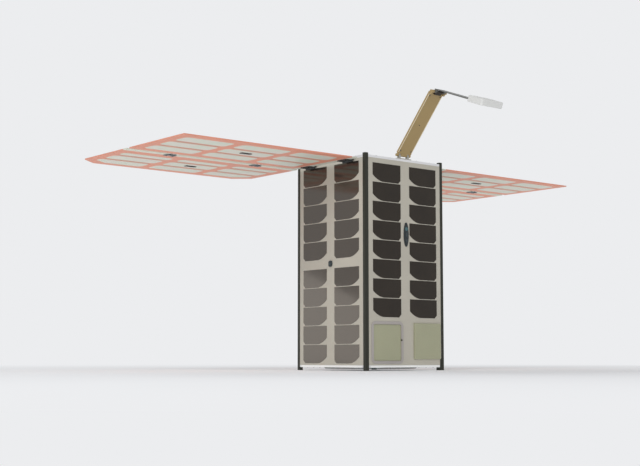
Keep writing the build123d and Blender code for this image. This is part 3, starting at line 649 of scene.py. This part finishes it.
def wing_pads(side, wing, body):
    """A panel's pads with pale rims of painted highlight, strips of painted shade in the gaps between the rows,
    and the chip with its legs.
    """
    pads = bmesh.new()
    rim_highlights = bmesh.new()
    shade_strips = bmesh.new()
    chips = bmesh.new()
    boxes = []
    for outline, low, high in flat_solids(f"{side}_{wing}_pads", DOWN):
        if high - low < PAD_THICKEST:
            soft = rounded(outline, PAD_CORNER)
            slab(pads, soft, low, high, PAD_ROUND, DOWN)
            # a pale ring round the pad: painted highlight
            slab(rim_highlights, inset(soft, -RIM_REACH), low, low + RIM_HEIGHT, RIM_ROUND, DOWN)
            xs = [p.x for p in outline]
            ys = [p.y for p in outline]
            boxes.append((min(xs), max(xs), min(ys), max(ys), low))
            continue
        slab(chips, rounded(outline, CHIP_CORNER, 2), low, high, CHIP_ROUND, DOWN)
        x, y = middle(outline)
        for k in range(LEGS):
            leg_x = x + (k - LEGS // 2) * LEG_PITCH
            for way in (-1, 1):
                leg = rectangle(leg_x, y + way * LEG_OUT, LEG_WIDTH, LEG_LENGTH)
                slab(chips, leg, low, low + LEG_HEIGHT, LEG_ROUND, DOWN)
    # Strips of painted shade in the gaps between pad rows
    for left, right, _, top, level in boxes:
        for other_left, other_right, bottom, _, _ in boxes:
            low_x, high_x, gap = max(left, other_left), min(right, other_right), bottom - top
            if 0 < gap < SHADE_WIDEST_GAP and high_x - low_x > SHADE_LEAST_SHARED:
                length = high_x - low_x - SHADE_END
                shade_strip = rectangle((low_x + high_x) / 2, top + gap / 2, length, gap - SHADE_EDGE)
                slab(shade_strips, shade_strip, level, level + RIM_HEIGHT, RIM_ROUND, DOWN)
    piece(f"{side}_{wing}_pad_gap_shades", shade_strips, "pad_gap_shade", body, "pad")
    piece(f"{side}_{wing}_pads_foil", pads, "pad", body, "pad", [f"{side}_{wing}_pads"])
    piece(f"{side}_{wing}_pad_rim_highlights", rim_highlights, "pad_rim_highlight", body, "pad")
    piece(f"{side}_{wing}_chip", chips, "chip", body, "pad")


for side in SIDES:
    for wing in ("inner", "outer"):
        wing_cells(side, wing, f"{side}_{wing}_wing")
        wing_pads(side, wing, f"{side}_{wing}_wing")

# Telescope: ring, tube with shallow grooves, and mirrors, all turned finely
ORIGIN = Matrix.Identity(4)
RING_STEPS = 144
BARREL_STEPS = 96
MIRROR_STEPS = 128
SMALL_STEPS = 32
RING_WALL = 4 * MM
RING_EDGE = 0.1 * MM
RING_BEVEL = 0.2 * MM
LIP = 0.6 * MM
BARREL_WALL = 2 * MM
BARREL_SHARP = math.radians(20)
GROOVES = 24
GROOVE_DEPTH = 0.7 * MM
GROOVE_SHARES = (0.7, 0.75, 0.95)   # where in its pitch a groove starts, is deep, and starts to end
MIRROR_HOLE = 18 * MM
MIRROR_HOLLOW = 3.7 * MM
MIRROR_EDGE = 0.6 * MM
MIRROR_RIM = 1.2 * MM
CURVE_STEPS = 16
HUB_BEVEL = 3 * MM
HUB_SHOULDER = (0.8 * MM, 1.2 * MM) # how far in and down the bevel's middle point is
plate_low, plate_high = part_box("bottom_plate")
ring_low, ring_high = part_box("telescope_tube")
ring_radius = ring_high.x
bore = ring_radius - RING_WALL
lip = bore + LIP
lathed("aperture_ring", [
    (bore, ring_low.z), (lip - RING_EDGE, ring_low.z), (lip, ring_low.z + RING_EDGE),
    (ring_radius - RING_BEVEL, plate_low.z - RING_EDGE), (ring_radius, plate_low.z + RING_EDGE),
    (ring_radius, plate_high.z), (bore, plate_high.z),
], RING_STEPS, ORIGIN, "tube_ring", "bus", "tube", ["telescope_tube"])

outline = [(bore + BARREL_WALL, plate_high.z), (bore + BARREL_WALL, ring_high.z)]
z = ring_high.z
pitch = (ring_high.z - plate_high.z) / GROOVES
start, deep, end = GROOVE_SHARES
for k in range(GROOVES):
    outline += [(bore, z), (bore, z - start * pitch), (bore + GROOVE_DEPTH, z - deep * pitch),
                (bore + GROOVE_DEPTH, z - end * pitch)]
    z -= pitch
outline.append((bore, plate_high.z))
lathed("telescope_barrel", outline, BARREL_STEPS, ORIGIN, "tube", "bus", "tube", ["telescope_tube"],
       sharp=BARREL_SHARP)

mirror_low, mirror_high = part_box("primary_mirror")
mirror_radius = mirror_high.x
outline = [(MIRROR_HOLE, mirror_high.z), (mirror_radius, mirror_high.z),
           (mirror_radius, mirror_low.z + MIRROR_EDGE), (mirror_radius - MIRROR_EDGE, mirror_low.z)]
for k in range(CURVE_STEPS + 1):
    r = mirror_radius - MIRROR_RIM + (MIRROR_HOLE - mirror_radius + MIRROR_RIM) * k / CURVE_STEPS
    outline.append((r, mirror_low.z + MIRROR_HOLLOW * (1 - (r / mirror_radius) ** 2)))
lathed("primary_mirror_glass", outline, MIRROR_STEPS, ORIGIN, "mirror", "bus", "mirror", ["primary_mirror"])

cell_low, cell_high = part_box("secondary_cell")
r = cell_high.x
lathed("secondary_cell_round", [
    (0, cell_low.z), (r, cell_low.z), (r, cell_high.z - HUB_BEVEL),
    (r - HUB_SHOULDER[0], cell_high.z - HUB_SHOULDER[1]), (r - HUB_BEVEL, cell_high.z), (0, cell_high.z),
], BARREL_STEPS, ORIGIN, "secondary", "bus", "secondary", ["secondary_cell"])

# Patch antennas and the feed pin of the framed one
PROUD_PATCH = 2 * MM                # the patch thicker than this keeps its own corners
PATCH_CORNER = 3 * MM
PROUD_ROUND = 0.5 * MM
PATCH_ROUND = 0.2 * MM
FEED_RADIUS = 2.0 * MM
FEED_IN = 5 * MM
FEED_SHARE = 0.56                   # how far up the frame the feed pin sits
FEED_PROUD = 0.7 * MM
FEED_ROUND = 0.5 * MM
bm = bmesh.new()
for outline, low, high in flat_solids("patch_antennas", FRONT):
    if high - low > PROUD_PATCH:
        slab(bm, outline, low, high, PROUD_ROUND, FRONT)
    else:
        slab(bm, rounded(outline, PATCH_CORNER), low, high, PATCH_ROUND, FRONT)
piece("patch_antennas_ceramic", bm, "patch", "bus", "patch", ["patch_antennas"])
frame_low, frame_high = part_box("patch_frame")
feed_z = frame_low.z + FEED_SHARE * (frame_high.z - frame_low.z)
bm = bmesh.new()
pin = circle(frame_high.x - FEED_IN, feed_z, FEED_RADIUS)
slab(bm, pin, -frame_high.y, -frame_low.y + FEED_PROUD, FEED_ROUND, FRONT)
piece("patch_feed_pin", bm, "solder", "bus", "patch_frame")

# Sensors in the side and rear faces
SENSOR_THICKEST = 3 * MM
SENSOR_STEP = 0.4 * MM              # the window stands this far above its body
SENSOR_WINDOW = 3.6 * MM
SENSOR_ROUND = 0.35 * MM
bm = bmesh.new()
glass = bmesh.new()
for name in ("left", "right", "rear"):
    place = FACES[name]
    for outline, low, high in flat_solids("side_sensors", place):
        if high - low < SENSOR_THICKEST and low > 0:
            slab(bm, outline, low, high - SENSOR_STEP, SENSOR_STEP, place)
            window = circle(*middle(outline), SENSOR_WINDOW)
            slab(glass, window, high - SENSOR_STEP, high, SENSOR_ROUND, place, 3)
piece("side_sensors_body", bm, "sensor", "bus", "sensor", ["side_sensors"])
piece("side_sensors_window", glass, "glass", "bus", "sensor")

# The long sensor in the front face: a round lens above, a smaller one below and a window between; the upper lens's
# pale teal is painted glint
LENS_UP = 12 * MM
LENS_SIZE = (8.4 * MM, 8.0 * MM)
LENS_DOWN = 13 * MM
SMALL_LENS_SIZE = (7.0 * MM, 6.6 * MM)
WINDOW_SIZE = (6 * MM, 10 * MM)
WINDOW_DEPTH = 0.8 * MM
BODY_ROUND = 0.8 * MM
BODY_STEP = 0.6 * MM
LENS_ROUND = 0.5 * MM
WINDOW_ROUND = 0.2 * MM
bm = bmesh.new()
glass = bmesh.new()
teal = bmesh.new()
for outline, low, high in flat_solids("front_sensor", FRONT):
    slab(bm, outline, low, high - BODY_STEP, BODY_ROUND, FRONT, 3)
    x, y = middle(outline)
    base = high - WINDOW_DEPTH
    slab(teal, stadium(x, y + LENS_UP, *LENS_SIZE), base, high, LENS_ROUND, FRONT, 3)
    slab(glass, stadium(x, y - LENS_DOWN, *SMALL_LENS_SIZE), base, high, LENS_ROUND, FRONT, 3)
    slab(glass, rectangle(x, y, *WINDOW_SIZE), base, high - WINDOW_ROUND, WINDOW_ROUND, FRONT)
piece("front_sensor_body", bm, "sensor", "bus", "sensor", ["front_sensor"])
piece("front_sensor_windows", glass, "glass", "bus", "sensor")
piece("front_sensor_lens", teal, "teal_glint_glass", "bus", "sensor")

# The long sensor below: a rim, and three ringed windows set off-centre; the pale teal of the rim, rings and
# windows is painted glint
NADIR_RIM = (54.4 * MM, 22.4 * MM)
NADIR_BODY = (52 * MM, 20 * MM)
NADIR_RIM_HEIGHT = 0.5 * MM
NADIR_RIM_ROUND = 0.2 * MM
NADIR_HEIGHT = 1.6 * MM
NADIR_ROUND = 0.5 * MM
NADIR_WINDOW = 4.6 * MM
NADIR_WINDOW_LOW = 1.4 * MM
NADIR_WINDOW_HIGH = 2.0 * MM
NADIR_WINDOW_ROUND = 0.3 * MM
NADIR_PITCH = 16 * MM
NADIR_SHIFT = -2.4 * MM
nadir_low, nadir_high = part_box("nadir_sensor")
centre = (nadir_low + nadir_high) / 2
NADIR = facing((centre.x, centre.y, nadir_high.z), (0, 0, -1), (centre.x, centre.y, 0))
bm = bmesh.new()
glass = bmesh.new()
rim = bmesh.new()
slab(bm, stadium(0, 0, *NADIR_BODY), 0, NADIR_HEIGHT, NADIR_ROUND, NADIR, 3)
slab(rim, stadium(0, 0, *NADIR_RIM), 0, NADIR_RIM_HEIGHT, NADIR_RIM_ROUND, NADIR)
for x in (-NADIR_PITCH, 0, NADIR_PITCH):
    window = circle(x, NADIR_SHIFT, NADIR_WINDOW)
    slab(glass, window, NADIR_WINDOW_LOW, NADIR_WINDOW_HIGH, NADIR_WINDOW_ROUND, NADIR, 3)
    ring = profile(0, (5.0, 1.4), (6.4, 1.4), (6.1, 1.9), (5.2, 1.9))
    lathe(rim, ring, SMALL_STEPS, NADIR @ Matrix.Translation((x, NADIR_SHIFT, 0)))
piece("nadir_sensor_rim", rim, "sensor_rim_glint", "bus", "sensor")
piece("nadir_sensor_body", bm, "sensor", "bus", "sensor", ["nadir_sensor"])
piece("nadir_sensor_windows", glass, "teal_glint_glass", "bus", "sensor")


# Boom pieces in the arms' own planes: painted shade in the elbow slot and on a dark sheet at the elbow, strips of
# painted highlight along the lower arm's edges, screws and a plug
def arm_place(joint, angle):
    """A placing on a joint's axis with local X along an arm and local Z to the side the lens faces."""
    c = math.cos(math.radians(angle))
    s = math.sin(math.radians(angle))
    turn = Matrix((Vector((0, c, s)), Vector((-1, 0, 0)), Vector((0, -s, c)))).transposed().to_4x4()
    return Matrix.Translation(Vector(JOINTS[joint]["pos_m"])) @ turn


SLOT_LENGTH = 8.2 * MM              # the lower arm's slot for the elbow, whose faces get painted shade
SLOT_HALF = 9.2 * MM
SLOT_LEVEL = 1.1 * MM
# A dark sheet on the upper arm at the elbow: painted shade
SHADE_SHEET_SIZE = (4.8 * MM, 17.0 * MM)
SHADE_SHEET_LEVELS = (-6 * MM, -4.1 * MM)
SHADE_SHEET_ROUND = 0.3 * MM
# Two pale strips along the lower arm's edges: painted highlight
HIGHLIGHT_MIDDLE = 81 * MM
HIGHLIGHT_SIZE = (146 * MM, 1.6 * MM)
HIGHLIGHT_IN = 1.1 * MM
HIGHLIGHT_LEVELS = (0.9 * MM, 1.5 * MM)
HIGHLIGHT_AND_PLUG_ROUND = 0.2 * MM
ARM_SCREWS = (12 * MM, 150 * MM)
ARM_SCREW_OUT = 15 * MM
ARM_SCREW_LEVEL = 1 * MM
ARM_SCREW_SIZE = (1.5 * MM, 0.9 * MM)
PLUG_AT = 77.5 * MM
PLUG_RADIUS = 1.6 * MM
PLUG_LEVELS = (-0.6 * MM, 0.5 * MM)
lower_angle = max(JOINTS["boom_root"]["range_deg"])
upper_angle = lower_angle + 180 - max(JOINTS["boom_elbow"]["range_deg"])
LOWER = arm_place("boom_root", lower_angle)
UPPER = arm_place("boom_elbow", upper_angle)
elbow_reach = (LOWER.inverted() @ Vector(JOINTS["boom_elbow"]["pos_m"])).x
# The slot's faces under the elbow take the dark brown: painted shade where the gap lies in shadow
lower_mesh = bpy.data.objects["boom_lower_arm_dressed"].data
lower_mesh.materials.append(MATERIALS["boom_painted_shade"])
for polygon in lower_mesh.polygons:
    spot = LOWER.inverted() @ polygon.center
    if spot.x > elbow_reach - SLOT_LENGTH and abs(spot.y) < SLOT_HALF and spot.z > SLOT_LEVEL:
        polygon.material_index = 1
bm = bmesh.new()
# The dark sheet behind the gaps between the elbow's lugs and straps, so that none shows through: painted shade
slab(bm, rectangle(SHADE_SHEET_SIZE[0] / 2, 0, *SHADE_SHEET_SIZE), *SHADE_SHEET_LEVELS, SHADE_SHEET_ROUND, UPPER)
piece("boom_elbow_shade_sheet", bm, "boom_painted_shade", "boom_upper", "boom_grey")
# Pale strips of painted highlight along both edges of the lower arm
half_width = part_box("boom_lower_arm")[1].x
bm = bmesh.new()
for way in (-1, 1):
    highlight = rectangle(HIGHLIGHT_MIDDLE, way * (half_width - HIGHLIGHT_IN), *HIGHLIGHT_SIZE)
    slab(bm, highlight, *HIGHLIGHT_LEVELS, HIGHLIGHT_AND_PLUG_ROUND, LOWER)
piece("boom_lower_edge_highlights", bm, "edge_highlight", "boom_lower", "boom_tan")
bm = bmesh.new()
for s in ARM_SCREWS:
    for way in (-1, 1):
        spot = (s, way * ARM_SCREW_OUT, ARM_SCREW_LEVEL)
        screw(bm, LOWER @ Matrix.Translation(spot), *ARM_SCREW_SIZE)
piece("boom_lower_screws", bm, "screw", "boom_lower", "boom_tan")
bm = bmesh.new()
slab(bm, circle(PLUG_AT, 0, PLUG_RADIUS, 16), *PLUG_LEVELS, HIGHLIGHT_AND_PLUG_ROUND, LOWER)
piece("boom_lower_plug", bm, "chip", "boom_lower", "boom_tan")


# Camera head: a barrel with a recessed glass dome, a ring round it, and the plate's screws
def upper_points(node):
    """The corners of a node on the upper arm, in that arm's plane."""
    return [UPPER.inverted() @ p for p in islands(node)[0]]


LENS_STEPS = 64
DOME_STEPS = 48
PLATE_SCREW_ALONG = 8.4 * MM
PLATE_SCREW_OUT = 12.6 * MM
PLATE_SCREW_SIZE = (0.9 * MM, 0.5 * MM)
lens_points = upper_points("camera_lens")
lens_x = sum(p.x for p in lens_points) / len(lens_points)
lens_low = min(p.z for p in lens_points)
lens_high = max(p.z for p in lens_points)
plate_top = max(p.z for p in upper_points("camera_plate"))
LENS = UPPER @ Matrix.Translation((lens_x, 0, 0))
barrel = profile(lens_low, (0, 0), (5, 0))
barrel += profile(lens_high, (5, -0.3), (4.7, 0), (4.1, 0), (3.5, -0.9), (0, -0.9))
lathed("camera_lens_barrel", barrel, LENS_STEPS, LENS, "lens", "boom_upper", "lens", ["camera_lens"])
dome = profile(lens_high, (0, -0.9), (3.4, -0.9), (2.6, -0.5), (1.4, -0.25), (0, -0.18))
lathed("camera_lens_glass", dome, DOME_STEPS, LENS, "glass", "boom_upper", "lens")
ring = profile(plate_top, (5.4, -0.2), (6.6, -0.2), (6.4, 0.15), (5.5, 0.15))
lathed("camera_lens_ring", ring, LENS_STEPS, LENS, "lens", "boom_upper", "lens")
bm = bmesh.new()
for way_x in (-1, 1):
    for way_y in (-1, 1):
        spot = (lens_x + way_x * PLATE_SCREW_ALONG, way_y * PLATE_SCREW_OUT, plate_top)
        screw(bm, UPPER @ Matrix.Translation(spot), *PLATE_SCREW_SIZE)
piece("camera_plate_screws", bm, "screw_dark", "boom_upper", "tray")

# Ferrule where the antenna's blade meets its thin tip
FERRULE_AT = 60.5 * MM
pivot = Vector(JOINTS["antenna_fold"]["pos_m"])
tip_low, tip_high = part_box("antenna_tip")
along = ((tip_low + tip_high) / 2 - pivot).normalized()
ferrule = profile(0, (1.5, 0), (2.8, 0), (3.0, 0.4), (3.0, 4.6), (2.4, 5.2), (1.5, 5.2))
lathed("antenna_ferrule", ferrule, SMALL_STEPS, facing(pivot + along * FERRULE_AT, along), "edge_band",
       "antenna", "antenna")

# White bands on the side faces of the bottom plate
BAND_LENGTH = 200 * MM
BAND_IN = 0.8 * MM                  # how much lower than the plate's edge the band is
BAND_PROUD = 0.2 * MM
bm = bmesh.new()
for place in FACES.values():
    height = plate_high.z - plate_low.z - BAND_IN
    band = rectangle(0, (plate_low.z + plate_high.z) / 2, BAND_LENGTH, height)
    slab(bm, band, plate_high.x, plate_high.x + BAND_PROUD, BAND_PROUD / 2, place)
piece("bottom_plate_bands", bm, "edge_band", "bus", "plate")

# Screws of the two plates: none where the boom's base stands
EDGE_IN = 4.5 * MM
BOTTOM_SPAN = 84 * MM
TOP_SPAN = 78 * MM
BOTTOM_SCREW = (1.3 * MM, 0.5 * MM)
TOP_SCREW = (1.7 * MM, 1.0 * MM)
edge_in = plate_high.x - EDGE_IN
places = []
for k in spaced(-BOTTOM_SPAN, BOTTOM_SPAN, 9):
    for spot in ((k, -edge_in), (k, edge_in), (-edge_in, k), (edge_in, k)):
        places.append((*spot, plate_low.z))
screws("bottom_plate_screws", places, (0, 0, -1), BOTTOM_SCREW, "bus", "plate", "screw_dark")
top_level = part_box("top_plate")[1].z
places = []
for k in spaced(-TOP_SPAN, TOP_SPAN, 5):
    places += [(k, edge_in, top_level), (-edge_in, k, top_level), (edge_in, k, top_level)]
for k in (-TOP_SPAN, -TOP_SPAN / 2, TOP_SPAN / 2, TOP_SPAN):
    places.append((k, -edge_in, top_level))
screws("top_plate_screws", places, (0, 0, 1), TOP_SCREW, "bus", "plate")

# Screws of the wings' hinge leaves and strips
ROOT_HINGES = (-62 * MM, 62 * MM)   # where the hinges sit along their axes, and their screws
ROOT_SCREWS = (-9 * MM, 9 * MM)
ROOT_SCREW_IN = 5.5 * MM
ROOT_SCREW_UP = 2.5 * MM
ROOT_SCREW = (1.5 * MM, 0.8 * MM)
FOLD_HINGES = (-108.5 * MM, 108.5 * MM)
FOLD_SCREWS = (-7.5 * MM, 7.5 * MM)
FOLD_SCREW_IN = 4 * MM
FOLD_SCREW = (1.5 * MM, 0.7 * MM)
STRIP_SCREW = (1.4 * MM, 0.4 * MM)
ROOT_STRIP_END = 10 * MM
ROOT_STRIP_COUNT = 7
OUTER_STRIP_END = 12 * MM
OUTER_STRIP_COUNT = 13
for side, sign in SIDES.items():
    inner = f"{side}_inner_wing"
    outer = f"{side}_outer_wing"
    strip_low, strip_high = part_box(f"{side}_inner_root_strip")
    leaf_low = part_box(f"{side}_root_leaves")[0]
    root_y = JOINTS[f"{side}_wing_root"]["pos_m"][1]
    outward = (strip_high.x if sign > 0 else strip_low.x) - sign * ROOT_SCREW_IN
    places = [(outward, root_y + hinge + shift, leaf_low.z + ROOT_SCREW_UP)
              for hinge in ROOT_HINGES for shift in ROOT_SCREWS]
    screws(f"{side}_root_leaf_screws", places, (0, 0, -1), ROOT_SCREW, inner, "root_hinge", "screw_dark")
    x = (strip_low.x + strip_high.x) / 2
    along = spaced(strip_low.y + ROOT_STRIP_END, strip_high.y - ROOT_STRIP_END, ROOT_STRIP_COUNT)
    places = [(x, y, strip_high.z) for y in along]
    screws(f"{side}_root_strip_screws", places, (0, 0, 1), STRIP_SCREW, inner, "strip")
    strip_low, strip_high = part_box(f"{side}_outer_strip")
    y = (strip_low.y + strip_high.y) / 2
    along = spaced(strip_low.x + OUTER_STRIP_END, strip_high.x - OUTER_STRIP_END, OUTER_STRIP_COUNT)
    places = [(x, y, strip_high.z) for x in along]
    screws(f"{side}_outer_strip_screws", places, (0, 0, 1), STRIP_SCREW, outer, "strip")
    fold = JOINTS[f"{side}_wing_fold"]["pos_m"]
    leaf_low, leaf_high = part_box(f"{side}_outer_leaves")
    places = [(fold[0] + hinge + shift, leaf_high.y - FOLD_SCREW_IN, leaf_low.z)
              for hinge in FOLD_HINGES for shift in FOLD_SCREWS]
    screws(f"{side}_fold_leaf_screws", places, (0, 0, -1), FOLD_SCREW, outer, "fold_hinge")


# Floor, light and camera

BACKDROP = srgb(236, 237, 239)
AMBIENT = 0.45                      # the world's light on the part; what shows as backdrop has strength 1
UNDERLIGHT = 0.5                    # the light that the floor sends up, for diffuse rays alone
FLOOR_LIFT = 0.14                   # added to the floor where the camera sees it, to meet the backdrop
FLOOR_RADIUS = 40.0
FLOOR_FADE = (0.5, 2.0)             # metres from the part between which the floor turns into backdrop


def shown_rays(g):
    """1 for the rays that show the backdrop itself: camera, mirror-like and see-through ones."""
    path = g.node("ShaderNodeLightPath")
    shown = g.math("MAXIMUM", path.outputs["Is Camera Ray"], path.outputs["Is Glossy Ray"])
    return g.math("MAXIMUM", shown, path.outputs["Is Transmission Ray"])


def floor_material():
    """Pale ground that keeps the shadow near the part, fades into the backdrop, and is clear from below."""
    g = material_graph("floor_pale")
    distance = g.node("ShaderNodeVectorMath", {0: g.place()}, operation="LENGTH").outputs["Value"]
    shade = g.scale(BACKDROP[:3], g.vary(g.noise(3.0, 4.0), 0.985, 1.015))
    path = g.node("ShaderNodeLightPath")
    lift = g.math("MULTIPLY", path.outputs["Is Diffuse Ray"], UNDERLIGHT)
    lift = g.math("ADD", lift, g.math("MULTIPLY", path.outputs["Is Camera Ray"], FLOOR_LIFT))
    ground = g.node("ShaderNodeBsdfDiffuse", {"Color": shade}).outputs[0]
    light = g.node("ShaderNodeEmission", {"Color": BACKDROP, "Strength": lift}).outputs[0]
    ground = g.node("ShaderNodeAddShader", {0: ground, 1: light}).outputs[0]
    glow = g.node("ShaderNodeEmission", {"Color": BACKDROP, "Strength": 1.0}).outputs[0]
    far = g.math("MULTIPLY", shown_rays(g), g.spread(distance, *FLOOR_FADE))
    mixed = g.node("ShaderNodeMixShader", {0: far, 1: ground, 2: glow}).outputs[0]
    clear = g.node("ShaderNodeBsdfTransparent").outputs[0]
    back = g.node("ShaderNodeNewGeometry").outputs["Backfacing"]
    material = g.output(g.node("ShaderNodeMixShader", {0: back, 1: mixed, 2: clear}).outputs[0])
    material.cycles.emission_sampling = "NONE"
    return material


bm = bmesh.new()
bm.faces.new([bm.verts.new((p.x, p.y, 0)) for p in circle(0, 0, FLOOR_RADIUS, 96)])
mesh = bpy.data.meshes.new("floor")
bm.to_mesh(mesh)
bm.free()
mesh.materials.append(floor_material())
floor = bpy.data.objects.new("floor", mesh)
bpy.context.scene.collection.objects.link(floor)

g = Graph(bpy.data.worlds.new("studio"))
strength = g.spread(shown_rays(g), 0.0, 1.0, AMBIENT, 1.0)
background = g.node("ShaderNodeBackground", {"Color": BACKDROP, "Strength": strength}).outputs[0]
bpy.context.scene.world = g.output(background, "ShaderNodeOutputWorld")


def area_lamp(name, place, aim, size, power, turn=0.0):
    """An area lamp that looks at a point: a disc, or a rectangle turned by some degrees in its own plane."""
    lamp = bpy.data.lights.new(name, "AREA")
    lamp.shape = "DISK" if len(size) == 1 else "RECTANGLE"
    lamp.size = size[0]
    lamp.size_y = size[-1]
    lamp.energy = power
    holder = bpy.data.objects.new(name, lamp)
    holder.location = place
    look = (Vector(aim) - Vector(place)).to_track_quat("-Z", "Y")
    holder.rotation_euler = (look @ Quaternion((0, 0, 1), math.radians(turn))).to_euler()
    bpy.context.scene.collection.objects.link(holder)
    return holder


# Three soft lamps: place, size and power. Only the fill shows in mirror-like surfaces, because the
# others' glare would wash out the wing cells
AIM = (0, 0.02, 0.30)
LAMPS = {
    "key": ((-3.1, -1.7, 2.4), 2.4, 62.0),
    "fill": ((0.5, -3.6, 1.5), 2.6, 10.0),
    "back": ((0.8, 3.2, 2.6), 2.2, 34.0),
}
for name, (place, size, power) in LAMPS.items():
    area_lamp(name, place, AIM, (size,), power).visible_glossy = name == "fill"

# Pale cards that only mirror-like rays see, since the photo's left face mirrors bright light low down:
# place, aim, size, turn in degrees and power
CARDS = {
    "high_card": ((-2.2, 2.5, 2.65), (0, 0, 0.1), (2.2, 1.5), 0.0, 6.2),
    "low_card": ((-0.94, 0.80, -0.21), (0, 0, -0.21), (1.2, 0.7), -28.0, 2.2),
}
for name, (place, aim, size, turn, power) in CARDS.items():
    card = area_lamp(name, place, aim, size, power, turn)
    card.visible_camera = False
    card.visible_diffuse = False

# Camera: at floor level, on the photograph's side of the part and at its distance
VIEW_SIDE = Vector((-1.4649, -1.6390, 0)).normalized()
VIEW_DISTANCE = 2.657
EYE_HEIGHT = 0.03
VIEW_TARGET = Vector((-0.087, 0.067, 0.300))
FOCAL_PIXELS = 1211.1
IMAGE_WIDTH = 640
camera_data = bpy.data.cameras.new("camera")
camera_data.sensor_width = 36.0
camera_data.lens = FOCAL_PIXELS / IMAGE_WIDTH * camera_data.sensor_width
camera_data.clip_start = 0.01
camera_data.clip_end = 200.0
camera = bpy.data.objects.new("camera", camera_data)
camera.location = VIEW_SIDE * VIEW_DISTANCE + Vector((0, 0, EYE_HEIGHT))
camera.rotation_euler = (VIEW_TARGET - camera.location).to_track_quat("-Z", "Y").to_euler()
bpy.context.scene.collection.objects.link(camera)
bpy.context.scene.camera = camera
bpy.context.scene.view_settings.view_transform = "Standard"
